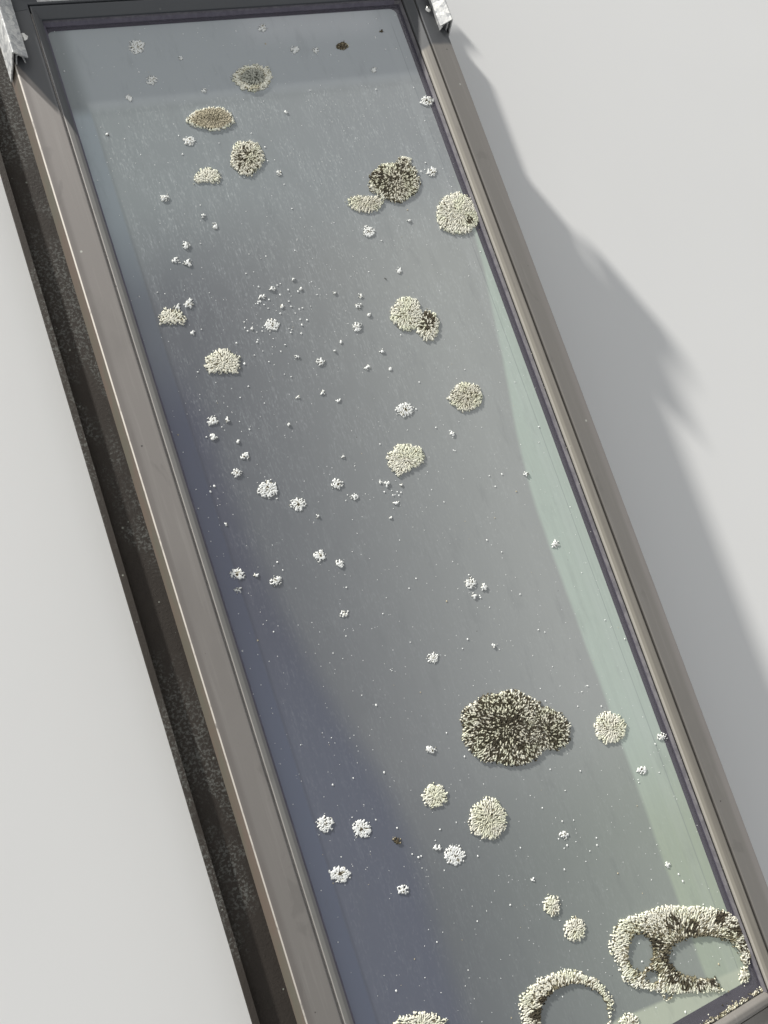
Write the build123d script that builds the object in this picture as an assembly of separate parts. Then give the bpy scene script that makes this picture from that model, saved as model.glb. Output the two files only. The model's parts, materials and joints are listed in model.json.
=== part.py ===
from build123d import *
import math
import os

os.makedirs("parts", exist_ok=True)

# Top-hung roof window, lying flat on the underside of its timber frame.
# X runs across the window, Y up the slope and Z outwards from the roof.
# The origin is the middle of the frame's underside. All sizes are in mm.
# Sections are drawn as (distance outside the lip, height): the lip is the
# inner edge of the glazing bead, and it bounds the clear opening.

# Clear opening inside the lips of the glazing bead
OPENING_WIDTH = 425.0
OPENING_LENGTH = 1224.0

# Insulated glass unit
GLASS_BELOW_LIP = 9.0
PANE = 4.0
GLASS_GAP = 16.0
GLASS_LAP = 6.0
ARRIS = 0.5
SPACER_SHOW = 6.0
SPACER_WIDTH = 7.0
SPACER_CORNER = 6.0
EDGE_SEAL_INSET = 0.5
TAPE = 3.0
TAPE_INSET = 0.5
BLOCK_LENGTH = 80.0
BLOCK_SETBACK = 90.0
GASKET_REACH = 2.4
STRIP_THICKNESS = 0.6

# Fixed frame, painted timber
FRAME_MARGIN = 41.0
HEAD_MARGIN = 92.0
FRAME_INSET = 2.0
FRAME_HEIGHT = 102.0
LIP_ABOVE_FRAME = 18.0
LIP_HEIGHT = FRAME_HEIGHT + LIP_ABOVE_FRAME
SHOULDER_DROP = 52.0
JAMB_UPSTAND = 11.0
HEAD_UPSTAND = 28.0
TIMBER_ROUND = 2.0
LINING_GROOVE_LOW = 10.0
LINING_GROOVE_WIDTH = 12.0
LINING_GROOVE_DEPTH = 8.0

# Weather seal on the shoulder of the frame
SEAL_AT = 12.0
SEAL_ROOT = 3.5
SEAL_ROOT_DEPTH = 4.0
SEAL_BULB = 8.0
SEAL_SQUEEZE = 0.3
SASH_LIFT = 4.0

# Sash, painted timber
SASH_REVEAL = 4.0
SASH_UPSTAND_TOP = LIP_HEIGHT + 5.0
SASH_SIDE_GAP = 1.5
SASH_TOE_GAP = 4.0
SASH_HEAD_GAP = 2.0
STRAP_SEAT = LIP_HEIGHT - 2.0
STRAP_STEP = 43.5

# Aluminium glazing bead: a slope from the lip up to the groove
SHEET = 1.2
BEAD_RUN = 8.9
BEAD_RISE = 10.5
BEAD_WALL = 1.5
BEAD_HOOK = 2.0
BEAD_FOOT_TOP = -10.5
GROOVE = 1.2

# Aluminium covers outside the groove
COVER_FLAT_END = 39.2
COVER_FLAT_DROP = 3.7
COVER_FLANGE_OUT = 46.6
COVER_FLANGE_DROP = 20.0
COVER_RETURN = 2.0
COVER_BEND = 1.6
TOP_COVER_END = 42.0
COVER_JOINT = 3.0
JOINT_GAP = 0.4
COVER_TAIL = 46.0
CAP_THICKNESS = 1.5

# Bottom cover with its rounded nose
STRIP_SIDE_DROP = 6.4
STRIP_FOOT_DROP = 8.2
STRIP_CROWN_DROP = 3.2
STRIP_CROWN_IN = 3.5
STRIP_CROWN_OUT = 9.5
STRIP_OUTER = 13.6
NOSE_START = 38.0
NOSE_START_DROP = 9.4
NOSE_TURN_DROP = 17.0
NOSE_OUT = 46.6
NOSE_DROP = 38.0
NOSE_WALL = 1.4
BOTTOM_COVER_CLEAR = 0.3
BOTTOM_UNDERSIDE = -10.0
BOTTOM_FALL = 0.085

# Clips and dome screws that hold the covers
CLIP_INNER = 13.0
CLIP_OUTER = 27.0
CLIP_LENGTH = 30.0
CLIP_COUNT = 4
SCREW_AT = 23.5
SCREW_FROM_TOP = 27.0
SCREW_FROM_BOTTOM = 20.0
DOME_RADIUS = 4.5
DOME_HEIGHT = 2.6
SCREW_RADIUS = 3.8
SCREW_HEIGHT = 1.6
SCREW_TAPER = 0.6
SCREW_SIDES = 8

# Frame cladding and flashing, folded sheet
CLADDING = 1.0
CLADDING_LOW = 64.0
FLASHING = 1.0
FLASHING_TOP = 72.0
GUTTER_FLOOR = 40.0
GUTTER_WIDTH = 42.0
GUTTER_RETURN = 10.0
GUTTER_HEM = 6.0
GUTTER_LAP = 60.0
GUTTER_CLEAR = 0.5
APRON_REACH = 120.0
APRON_TURNDOWN = 9.0
SHEET_BEND = 1.5

# Roof brackets, folded steel under the gutters
BRACKET_STEEL = 2.5
BRACKET_LENGTH = 70.0
BRACKET_FOOT = 38.0
BRACKET_LOW = 20.0
BRACKET_RISE = 17.0
BRACKET_FROM_END = 160.0
BRACKET_HOLE = 3.0
BRACKET_HOLE_OUT = 22.0
BRACKET_HOLE_PITCH = 36.0

# Hinges behind the frame head
HINGE_OFFSET = 150.0
HINGE_WIDTH = 40.0
KNUCKLE_WIDTH = 24.0
KNUCKLE_GAP = 0.3
HINGE_STEEL = 2.5
KNUCKLE_RADIUS = 5.0
PIN_RADIUS = 2.5
PIN_CLEARANCE = 0.05
PIN_PROUD = 1.5
LEAF_HEIGHT = 24.0
STRAP_START = 45.0
STRAP_SHOULDER = 66.0
STRAP_NECK = 76.0

# Hood over the hinges, carried by the sash, and its galvanised legs
HOOD_FRONT = 46.0
HOOD_BACK = 108.0
HOOD_OUT = 50.0
HOOD_LIP_LOW = 26.5
HOOD_FRONT_TOP = 30.5
HOOD_BREAK = 62.0
HOOD_BREAK_TOP = 34.0
HOOD_BACK_TOP = 35.5
HOOD_BACK_LOW = 2.5
HOOD_CHEEK_LOW = -12.0
HOOD_BRACKET_X = 60.0
HOOD_BRACKET_WIDTH = 30.0
BRACKET_GAP = 0.1
LEG_STEEL = 1.5
LEG_START = -58.5
LEG_END = 100.0
LEG_INNER = (25.6, 17.2)
LEG_RIDGE = (39.6, 27.4)
LEG_OUTER = (47.7, -15.0)
LEG_WEB_START = 14.0
LEG_WEB_END = 38.0
SADDLE_SETBACK = 1.5
SADDLE_INSET = 3.0
SADDLE_LEAN = 2.0
SADDLE_CLEAR = 0.3
SADDLE_INNER_TOP = 17.8
SADDLE_OUTER_TOP = 22.6
SADDLE_BENDS = [3.0, 2.5]

# Blank plate on the top cover
PLATE_LENGTH = 51.0
PLATE_START = 11.5
PLATE_WIDTH = 23.5
PLATE_THICKNESS = 0.4

# Lock: rose and turning tongue on the sash, keeper on the sill
ROSE_MARGIN = 1.0
ROSE_LENGTH = 56.0
ROSE = 3.0
SPINDLE_RADIUS = 4.0
SPINDLE_SIDE = 5.6
SPINDLE_FIT = 0.05
SPINDLE_DEPTH = 10.0
TONGUE = 4.0
TONGUE_GAP = 0.3
TOE_WIDTH = 6.0
TOE_START = -119.0
TOE_END = -78.0
TONGUE_ARM = 5.0
TONGUE_ARM_ANGLE = -114.0
HUB_RADIUS = 9.0
HUB_LENGTH = 12.0
LEVER_LENGTH = 58.0
LEVER_ANGLE = -90.0
LEVER_WIDTH = 13.0
LEVER_THICKNESS = 7.0
KEEPER_HALF = 4.5
KEEPER_PLATE_HALF = 20.0
KEEPER_PLATE_HEIGHT = 21.0
KEEPER_HEIGHT = 6.0
KEEPER_CLEAR = 3.0
KEEPER_REACH = 14.0

# Stay: a perforated bar on the left stile, and its peg on the jamb
STAY_FROM_BOTTOM = 110.0
STAY_LENGTH = 360.0
STAY_WIDTH = 16.0
STAY_STEEL = 3.0
STAY_HOLE = 3.6
STAY_HOLE_PITCH = 110.0
STAY_HOLE_FIRST = 100.0
STAY_HOLES = 2
STAY_PLATE = 2.0
STAY_PLATE_LENGTH = 44.0
STAY_PIN_RADIUS = 3.0
STAY_RUNNING_GAP = 0.4
STAY_KNOB_RADIUS = 6.5
STAY_KNOB = 14.0
STAY_KNOB_SIDES = 16
PEG_BACK = 60.0
PEG_BELOW_SHOULDER = 16.0
PEG_RADIUS = 3.0
PEG_REACH = 14.0
PEG_PLATE = 2.5

# Growth on the glass. Each large patch has its centre's share of the free room
# across and down the glass, its width and length, and its number of lobes.
PATCH_HEIGHT = 2.5
PATCH_BEVEL = 60.0
PATCH_POINTS = 10
PATCH_EDGE = 2.0
PATCHES = [
    (0.488, 0.055, 46.0, 34.0, 7),
    (0.314, 0.092, 53.0, 33.0, 6),
    (0.390, 0.131, 40.0, 48.0, 8),
    (0.853, 0.175, 69.0, 56.0, 9),
    (0.708, 0.201, 44.0, 28.0, 7),
    (0.998, 0.222, 46.0, 54.0, 9),
    (0.739, 0.322, 58.0, 49.0, 8),
    (0.808, 0.412, 44.0, 39.0, 7),
    (0.555, 0.456, 46.0, 39.0, 8),
    (0.625, 0.722, 116.0, 80.0, 11),
    (0.886, 0.750, 42.0, 36.0, 7),
    (0.437, 0.781, 45.0, 44.0, 8),
    (0.463, 0.941, 80.0, 44.0, 9),
    (0.727, 0.958, 48.0, 50.0, 8),
    (0.872, 0.920, 60.0, 34.0, 9),
    (0.990, 0.958, 40.0, 62.0, 9),
    (0.854, 0.984, 56.0, 30.0, 8),
]

# Places worked out from the sizes above
HALF_WIDTH = OPENING_WIDTH / 2
TOP_LIP = (OPENING_LENGTH + FRAME_MARGIN - HEAD_MARGIN) / 2
BOTTOM_LIP = TOP_LIP - OPENING_LENGTH
FRAME_TOP = TOP_LIP + HEAD_MARGIN
FRAME_BOTTOM = BOTTOM_LIP - FRAME_MARGIN
FRAME_SIDE = HALF_WIDTH + FRAME_MARGIN
SHOULDER = FRAME_HEIGHT - SHOULDER_DROP
GLASS_TOP = LIP_HEIGHT - GLASS_BELOW_LIP
OUTER_PANE_LOW = GLASS_TOP - PANE
INNER_PANE_TOP = OUTER_PANE_LOW - GLASS_GAP
GLASS_LOW = INNER_PANE_TOP - PANE
REBATE_FLOOR = GLASS_LOW - TAPE
SASH_LOW = SHOULDER + SASH_LIFT
COVER_EDGE = BEAD_RUN + GROOVE
UPSTAND_INNER = COVER_EDGE + SHEET
SASH_SIDE = FRAME_MARGIN - JAMB_UPSTAND - SASH_SIDE_GAP
SASH_TOE = FRAME_MARGIN - JAMB_UPSTAND - SASH_TOE_GAP
SASH_HEAD = HEAD_MARGIN - HEAD_UPSTAND - SASH_HEAD_GAP
LEAF_FACE = HEAD_MARGIN + FLASHING + CLADDING
LEAF_LOW = FRAME_HEIGHT - LEAF_HEIGHT
HINGE_Y = TOP_LIP + LEAF_FACE + KNUCKLE_RADIUS
HINGE_Z = STRAP_SEAT + HINGE_STEEL - KNUCKLE_RADIUS
GUTTER_EDGE = FRAME_MARGIN + FLASHING + GUTTER_WIDTH
LOCK_HEIGHT = (SASH_LOW + REBATE_FLOOR) / 2
ROSE_HALF = (REBATE_FLOOR - SASH_LOW) / 2 - ROSE_MARGIN
KEEPER_LOW = SHOULDER - KEEPER_HEIGHT
TOE_INNER = LOCK_HEIGHT - KEEPER_LOW + KEEPER_CLEAR
TOE_OUTER = TOE_INNER + TOE_WIDTH
PEG_HEIGHT = SHOULDER - PEG_BELOW_SHOULDER


# Section and solid helpers

def outline(points, radii=None):
    """A closed section from its corners, with a round at each corner that has a radius."""
    return make_face(FilletPolyline(*points, radius=radii or [0] * len(points), close=True))


def folded(points, bends, thickness=SHEET):
    """The section of a folded sheet: the metal lies on the right of the line through the points."""
    if not isinstance(bends, list):
        bends = [bends] * (len(points) - 2)
    normals = []
    for (x0, z0), (x1, z1) in zip(points, points[1:]):
        run = math.hypot(x1 - x0, z1 - z0)
        normals.append(((z1 - z0) / run, (x0 - x1) / run))
    far = []
    far_bends = []
    pairs = list(zip([normals[0]] + normals, normals + [normals[-1]]))
    for (x, z), (before, after) in zip(points, pairs):
        reach = thickness / (1 + before[0] * after[0] + before[1] * after[1])
        far.append((x + reach * (before[0] + after[0]), z + reach * (before[1] + after[1])))
    for bend, (before, after) in zip(bends, pairs[1:-1]):
        left_turn = before[0] * after[1] - before[1] * after[0] > 0
        far_bends.append(bend + thickness if left_turn else bend - thickness)
    return outline(points + far[::-1], [0] + bends + [0, 0] + far_bends[::-1] + [0])


def side_bar(section, low, high):
    """A bar along the right-hand side, between two Y places."""
    plane = Plane((HALF_WIDTH, high, 0), x_dir=(1, 0, 0), z_dir=(0, -1, 0))
    return extrude(plane * section, amount=high - low)


def top_bar(section, left, right):
    """A bar along the top, between two X places."""
    plane = Plane((left, TOP_LIP, 0), x_dir=(0, 1, 0), z_dir=(1, 0, 0))
    return extrude(plane * section, amount=right - left)


def bottom_bar(section, left, right):
    """A bar along the bottom, between two X places."""
    plane = Plane((right, BOTTOM_LIP, 0), x_dir=(0, -1, 0), z_dir=(-1, 0, 0))
    return extrude(plane * section, amount=right - left)


def block(low, high):
    """A rectangular block between two corners."""
    size = [b - a for a, b in zip(low, high)]
    middle = [(a + b) / 2 for a, b in zip(low, high)]
    return Pos(*middle) * Box(*size)


def plate(reach, low, high, corner=0.0):
    """A flat plate over the opening that reaches a distance outside the lips."""
    width = OPENING_WIDTH + 2 * reach
    length = OPENING_LENGTH + 2 * reach
    face = RectangleRounded(width, length, corner) if corner > 0 else Rectangle(width, length)
    return extrude(Pos(0, (TOP_LIP + BOTTOM_LIP) / 2, low) * face, amount=high - low)


def ring(inner, outer, low, high, corner=0.0):
    """A flat ring round the opening, from one distance outside the lips to another."""
    return plate(outer, low, high) - plate(inner, low, high, corner)


def mirrored(solid):
    """The same piece on the left-hand side."""
    return mirror(solid, about=Plane.YZ)


def rod(start, end, radius):
    """A round bar between two points."""
    span = Vector(*end) - Vector(*start)
    plane = Plane(Vector(*start), z_dir=span)
    return extrude(plane * Circle(radius), amount=span.length)


def save(name, *solids):
    """Write one piece, or a group of like pieces, as a STEP file."""
    shape = solids[0] if len(solids) == 1 else Compound(list(solids))
    export_step(shape, f"parts/{name}.step")


def cover_height(distance):
    """Height of the covers' flat top at a distance outside the lip."""
    share = (distance - COVER_EDGE) / (COVER_FLAT_END - COVER_EDGE)
    return LIP_HEIGHT + BEAD_RISE - COVER_FLAT_DROP * share


def upper_mitre():
    """The plan wedge that belongs to the top bead and the top cover."""
    reach = HOOD_OUT + HEAD_MARGIN
    corners = [
        (0, TOP_LIP - HALF_WIDTH),
        (HALF_WIDTH + reach, TOP_LIP + reach),
        (-HALF_WIDTH - reach, TOP_LIP + reach),
    ]
    face = make_face(Polyline(*corners, close=True))
    return extrude(face, amount=2 * LIP_HEIGHT)


MITRE = upper_mitre()


# Fixed frame

def frame_section(margin, upstand):
    """Rebated frame timber with a groove for the room lining."""
    groove_top = LINING_GROOVE_LOW + LINING_GROOVE_WIDTH
    groove_back = FRAME_INSET + LINING_GROOVE_DEPTH
    points = [
        (FRAME_INSET, 0),
        (margin, 0),
        (margin, FRAME_HEIGHT),
        (margin - upstand, FRAME_HEIGHT),
        (margin - upstand, SHOULDER),
        (FRAME_INSET, SHOULDER),
        (FRAME_INSET, groove_top),
        (groove_back, groove_top),
        (groove_back, LINING_GROOVE_LOW),
        (FRAME_INSET, LINING_GROOVE_LOW),
    ]
    edge = TIMBER_ROUND
    return outline(points, [edge, 0, 0, 0, 0, edge, 0, 0, 0, 0])


def shouldered_ends(inner, step, upstand):
    """The room that the long timbers need at both ends of a cross timber."""
    reach = FRAME_SIDE + FRAME_MARGIN
    low = block((HALF_WIDTH + inner, -OPENING_LENGTH, 0), (reach, OPENING_LENGTH, step))
    high = block((HALF_WIDTH + upstand, -OPENING_LENGTH, 0), (reach, OPENING_LENGTH, 2 * LIP_HEIGHT))
    room = low + high
    return room + mirrored(room)


def seal_root():
    return ring(SEAL_AT, SEAL_AT + SEAL_ROOT, SHOULDER - SEAL_ROOT_DEPTH, SHOULDER)


def make_frame():
    slot = seal_root()
    jamb = side_bar(frame_section(FRAME_MARGIN, JAMB_UPSTAND), FRAME_BOTTOM, FRAME_TOP)
    left_jamb = mirrored(jamb)
    ends = shouldered_ends(FRAME_INSET, SHOULDER, FRAME_MARGIN - JAMB_UPSTAND)
    head = top_bar(frame_section(HEAD_MARGIN, HEAD_UPSTAND), -FRAME_SIDE, FRAME_SIDE) - ends
    sill = bottom_bar(frame_section(FRAME_MARGIN, JAMB_UPSTAND), -FRAME_SIDE, FRAME_SIDE) - ends
    save("frame_jamb_right", jamb - slot)
    save("frame_jamb_left", left_jamb - slot)
    save("frame_head", head - slot)
    save("frame_sill", sill - slot)


def make_seal():
    """Weather seal: a bulb on the shoulder and a root in its slot."""
    middle = SEAL_AT + SEAL_ROOT / 2
    bulb = ring(middle - SEAL_BULB / 2, middle + SEAL_BULB / 2, SHOULDER, SASH_LOW - SEAL_SQUEEZE)
    bulb = chamfer(bulb.faces().sort_by(Axis.Z)[-1].edges(), SEAL_BULB / 5)
    save("weather_seal", bulb + seal_root())


def cladding_section(margin, upstand):
    """Sheet cap over the top and the outer face of the frame."""
    out = margin + FLASHING + CLADDING
    points = [
        (margin - upstand + CLADDING, FRAME_HEIGHT + CLADDING),
        (out, FRAME_HEIGHT + CLADDING),
        (out, CLADDING_LOW),
    ]
    return folded(points, SHEET_BEND, CLADDING)


def make_cladding():
    side = side_bar(cladding_section(FRAME_MARGIN, JAMB_UPSTAND), FRAME_BOTTOM, FRAME_TOP)
    end = FRAME_SIDE + FLASHING + CLADDING
    lap = block((FRAME_SIDE - JAMB_UPSTAND, FRAME_BOTTOM, 0), (end, FRAME_TOP, LIP_HEIGHT))
    laps = lap + mirrored(lap)
    head = top_bar(cladding_section(HEAD_MARGIN, HEAD_UPSTAND), -end, end) - laps
    sill = bottom_bar(cladding_section(FRAME_MARGIN, JAMB_UPSTAND), -end, end) - laps
    save("cladding_right", side)
    save("cladding_left", mirrored(side))
    save("cladding_head", head)
    save("cladding_sill", sill)


# Flashing

def gutter_section():
    """Upstand against the frame, floor, outer return and hem."""
    wall = FRAME_MARGIN + FLASHING
    points = [
        (wall, FLASHING_TOP),
        (wall, GUTTER_FLOOR),
        (GUTTER_EDGE, GUTTER_FLOOR),
        (GUTTER_EDGE, GUTTER_FLOOR + GUTTER_RETURN),
        (GUTTER_EDGE - GUTTER_HEM, GUTTER_FLOOR + GUTTER_RETURN),
    ]
    return folded(points, [SHEET_BEND, SHEET_BEND, 0], FLASHING)


def make_gutters():
    gutter = side_bar(gutter_section(), FRAME_BOTTOM - GUTTER_LAP, FRAME_TOP + GUTTER_LAP)
    notch_out = HALF_WIDTH + FRAME_MARGIN + FLASHING + SHEET_BEND
    hem_in = HALF_WIDTH + GUTTER_EDGE - GUTTER_HEM
    for near, far in ((FRAME_TOP, FRAME_TOP + GUTTER_LAP), (FRAME_BOTTOM - GUTTER_LAP, FRAME_BOTTOM)):
        gutter = gutter - block((FRAME_SIDE, near, 0), (notch_out, far, LIP_HEIGHT))
    over_head = block(
        (hem_in - GUTTER_CLEAR, FRAME_TOP, GUTTER_FLOOR + FLASHING),
        (HALF_WIDTH + GUTTER_EDGE, FRAME_TOP + GUTTER_LAP, LIP_HEIGHT),
    )
    gutter = gutter - over_head
    save("gutter_right", gutter)
    save("gutter_left", mirrored(gutter))


def make_head_flashing():
    """Upstand behind the frame head and a back sheet that laps over the gutters."""
    wall = HEAD_MARGIN + FLASHING
    floor = GUTTER_FLOOR + FLASHING
    end = HEAD_MARGIN + APRON_REACH
    fold = [(wall, FLASHING_TOP), (wall, floor), (wall + 2 * SHEET_BEND, floor)]
    upstand = top_bar(folded(fold, SHEET_BEND, FLASHING), -FRAME_SIDE, FRAME_SIDE)
    back = [
        (wall + FLASHING, floor),
        (end - FLASHING, floor),
        (end - FLASHING, floor + GUTTER_RETURN),
    ]
    reach = HALF_WIDTH + GUTTER_EDGE - SHEET_BEND - GUTTER_CLEAR
    sheet = top_bar(folded(back, SHEET_BEND, FLASHING), -reach, reach)
    save("head_flashing", upstand + sheet)


def make_apron():
    """Upstand in front of the sill and an apron that the gutters lap over."""
    wall = FRAME_MARGIN + FLASHING
    floor = GUTTER_FLOOR - FLASHING
    end = FRAME_MARGIN + APRON_REACH
    fold = [(wall, FLASHING_TOP), (wall, floor), (wall + 2 * SHEET_BEND, floor)]
    upstand = bottom_bar(folded(fold, SHEET_BEND, FLASHING), -FRAME_SIDE, FRAME_SIDE)
    front = [
        (wall + FLASHING, floor),
        (end, floor),
        (end, floor - APRON_TURNDOWN),
    ]
    reach = HALF_WIDTH + GUTTER_EDGE
    sheet = bottom_bar(folded(front, SHEET_BEND, FLASHING), -reach, reach)
    save("sill_apron", upstand + sheet)


# Roof brackets

def make_brackets():
    steel = BRACKET_STEEL
    face = FRAME_MARGIN
    points = [
        (face + steel, BRACKET_LOW + BRACKET_RISE),
        (face + steel, BRACKET_LOW + steel),
        (face + BRACKET_FOOT, BRACKET_LOW + steel),
    ]
    section = folded(points, steel, steel)
    brackets = []
    screws = []
    for middle in (FRAME_BOTTOM + BRACKET_FROM_END, FRAME_TOP - BRACKET_FROM_END):
        bracket = side_bar(section, middle - BRACKET_LENGTH / 2, middle + BRACKET_LENGTH / 2)
        for step in (-BRACKET_HOLE_PITCH / 2, BRACKET_HOLE_PITCH / 2):
            hole_x = FRAME_SIDE + BRACKET_HOLE_OUT
            low = (hole_x, middle + step, BRACKET_LOW - steel)
            high = (hole_x, middle + step, BRACKET_LOW + 2 * steel)
            bracket = bracket - rod(low, high, BRACKET_HOLE)
            screws.append(frame_screw(middle + step))
        brackets += [bracket, mirrored(bracket)]
    save("roof_brackets", *brackets)
    save("bracket_screws", *screws, *[mirrored(screw) for screw in screws])


def frame_screw(y):
    """Screw head that holds a bracket on the jamb."""
    return screw_head((FRAME_SIDE + BRACKET_STEEL, y, BRACKET_LOW + BRACKET_RISE * 0.6), (1, 0, 0))


# Sash

def stile_section():
    points = [
        (-SASH_REVEAL, SASH_LOW),
        (SASH_SIDE, SASH_LOW),
        (SASH_SIDE, SASH_UPSTAND_TOP),
        (UPSTAND_INNER, SASH_UPSTAND_TOP),
        (UPSTAND_INNER, REBATE_FLOOR),
        (-SASH_REVEAL, REBATE_FLOOR),
    ]
    edge = TIMBER_ROUND
    return outline(points, [edge, edge / 2, 0, 0, 0, edge / 2])


def top_rail_section():
    points = [
        (-SASH_REVEAL, SASH_LOW),
        (SASH_HEAD, SASH_LOW),
        (SASH_HEAD, STRAP_SEAT),
        (STRAP_STEP, STRAP_SEAT),
        (STRAP_STEP, SASH_UPSTAND_TOP),
        (UPSTAND_INNER, SASH_UPSTAND_TOP),
        (UPSTAND_INNER, REBATE_FLOOR),
        (-SASH_REVEAL, REBATE_FLOOR),
    ]
    edge = TIMBER_ROUND
    return outline(points, [edge, 0, edge / 2, 0, 0, 0, 0, edge / 2])


def bottom_seat(distance):
    """Height of the bevel that the bottom cover lies on."""
    return LIP_HEIGHT + BOTTOM_UNDERSIDE - BOTTOM_FALL * (distance - GLASS_LAP - BEAD_WALL)


def bottom_rail_section():
    points = [
        (-SASH_REVEAL, SASH_LOW),
        (SASH_TOE, SASH_LOW),
        (SASH_TOE, bottom_seat(SASH_TOE)),
        (UPSTAND_INNER, bottom_seat(UPSTAND_INNER)),
        (UPSTAND_INNER, REBATE_FLOOR),
        (-SASH_REVEAL, REBATE_FLOOR),
    ]
    edge = TIMBER_ROUND
    return outline(points, [edge, edge / 2, 0, 0, 0, edge / 2])


def make_sash():
    stile = side_bar(stile_section(), BOTTOM_LIP - SASH_TOE, TOP_LIP + SASH_HEAD)
    left_stile = mirrored(stile)
    side = HALF_WIDTH + SASH_SIDE
    ends = shouldered_ends(-SASH_REVEAL, REBATE_FLOOR, UPSTAND_INNER)
    bead_ends = shouldered_ends(-SASH_REVEAL, REBATE_FLOOR, BEAD_RUN - BEAD_WALL - JOINT_GAP)
    top_rail = top_bar(top_rail_section(), -side, side) - ends
    bottom_rail = bottom_bar(bottom_rail_section(), -side, side) - bead_ends
    inner_face = BOTTOM_LIP + SASH_REVEAL
    bore_end = inner_face - SPINDLE_DEPTH - PIN_PROUD
    bore = rod((0, inner_face, LOCK_HEIGHT), (0, bore_end, LOCK_HEIGHT), SPINDLE_RADIUS + PIN_CLEARANCE)
    save("sash_stile_right", stile)
    save("sash_stile_left", left_stile)
    save("sash_top_rail", top_rail)
    save("sash_bottom_rail", bottom_rail - bore)


# Insulated glass unit and its seals

def pane(low):
    """One pane with its arrises taken off."""
    glass = plate(GLASS_LAP, low, low + PANE)
    faces = glass.faces().sort_by(Axis.Z)
    return chamfer(faces[0].edges() + faces[-1].edges(), ARRIS)


def make_glass_unit():
    save("outer_pane", pane(OUTER_PANE_LOW))
    save("inner_pane", pane(GLASS_LOW))
    spacer_out = SPACER_WIDTH - SPACER_SHOW
    save("spacer", ring(-SPACER_SHOW, spacer_out, INNER_PANE_TOP, OUTER_PANE_LOW, SPACER_CORNER))
    save("edge_seal", ring(spacer_out, GLASS_LAP - EDGE_SEAL_INSET, INNER_PANE_TOP, OUTER_PANE_LOW))
    save("glazing_tape", ring(-SASH_REVEAL + TAPE_INSET, GLASS_LAP - TAPE_INSET, REBATE_FLOOR, GLASS_LOW))


def make_setting_blocks():
    """Packers between the edge of the glass and the sash."""
    blocks = []
    top = LIP_HEIGHT + BEAD_FOOT_TOP - BEAD_WALL - 1
    foot = outline([(GLASS_LAP, REBATE_FLOOR), (UPSTAND_INNER, REBATE_FLOOR),
                    (UPSTAND_INNER, top), (GLASS_LAP, top)])
    for x in (-HALF_WIDTH + BLOCK_SETBACK, HALF_WIDTH - BLOCK_SETBACK - BLOCK_LENGTH):
        blocks.append(bottom_bar(foot, x, x + BLOCK_LENGTH))
    for y in (BOTTOM_LIP + BLOCK_SETBACK, TOP_LIP - BLOCK_SETBACK - BLOCK_LENGTH):
        side = side_bar(foot, y, y + BLOCK_LENGTH)
        blocks += [side, mirrored(side)]
    save("setting_blocks", *blocks)


def gasket_section():
    """Rubber wedge between the bead and the glass, with a lip that spreads on the glass."""
    points = [
        (-GASKET_REACH, GLASS_TOP),
        (GLASS_LAP, GLASS_TOP),
        (GLASS_LAP, LIP_HEIGHT - 1.0),
        (1.5, LIP_HEIGHT - 1.0),
        (1.5, LIP_HEIGHT - BEAD_HOOK - 0.3),
        (0.2, LIP_HEIGHT - BEAD_HOOK - 0.3),
        (-0.2, GLASS_TOP + 4.5),
        (-GASKET_REACH, GLASS_TOP + 1.0),
    ]
    return outline(points)


def make_gaskets():
    """One gasket goes round three sides, and a thin strip lies under the bottom cover."""
    section = gasket_section()
    right = side_bar(section, BOTTOM_LIP - GLASS_LAP, TOP_LIP + GLASS_LAP) - MITRE
    right = right - block((0, BOTTOM_LIP - GLASS_LAP, 0), (HALF_WIDTH, BOTTOM_LIP, LIP_HEIGHT))
    top = top_bar(section, -HALF_WIDTH - GLASS_LAP, HALF_WIDTH + GLASS_LAP) & MITRE
    save("glazing_gasket", right + top + mirrored(right))
    strip = outline([
        (-1.0, GLASS_TOP),
        (GLASS_LAP, GLASS_TOP),
        (GLASS_LAP, GLASS_TOP + STRIP_THICKNESS),
        (-0.4, GLASS_TOP + STRIP_THICKNESS),
    ])
    reach = HALF_WIDTH - GASKET_REACH - BOTTOM_COVER_CLEAR
    save("bottom_gasket", bottom_bar(strip, -reach, reach))


# Beads and covers

def bead_section():
    """Slope, hooked lip, and a leg whose foot clips against the sash."""
    lip = LIP_HEIGHT
    inner = BEAD_RUN - BEAD_WALL
    slope = BEAD_RISE / BEAD_RUN
    drop = BEAD_WALL * math.hypot(BEAD_RUN, BEAD_RISE) / BEAD_RUN
    hook = BEAD_WALL * 0.8
    points = [
        (0, lip),
        (BEAD_RUN, lip + BEAD_RISE),
        (BEAD_RUN, lip + BEAD_FOOT_TOP),
        (UPSTAND_INNER, lip + BEAD_FOOT_TOP),
        (UPSTAND_INNER, lip + BEAD_FOOT_TOP - BEAD_WALL),
        (inner, lip + BEAD_FOOT_TOP - BEAD_WALL),
        (inner, lip + inner * slope - drop),
        (hook, lip + hook * slope - drop),
        (hook, lip - BEAD_HOOK),
        (0, lip - BEAD_HOOK),
    ]
    return outline(points, [0.5, 1.0, 0, 0, 0, 0, 0, 0, 0, 0])


def make_beads():
    right = side_bar(bead_section(), BOTTOM_LIP - COVER_TAIL, TOP_LIP + UPSTAND_INNER) - MITRE
    reach = HALF_WIDTH + UPSTAND_INNER
    top = top_bar(bead_section(), -reach, reach) & MITRE
    save("bead_right", right)
    save("bead_left", mirrored(right))
    save("bead_top", top)


def cover_section():
    """Return in the groove, gently falling flat and flared outer flange."""
    points = [
        (COVER_EDGE, LIP_HEIGHT - COVER_RETURN),
        (COVER_EDGE, LIP_HEIGHT + BEAD_RISE),
        (COVER_FLAT_END, cover_height(COVER_FLAT_END)),
        (COVER_FLANGE_OUT, LIP_HEIGHT - COVER_FLANGE_DROP),
    ]
    return folded(points, COVER_BEND)


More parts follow.
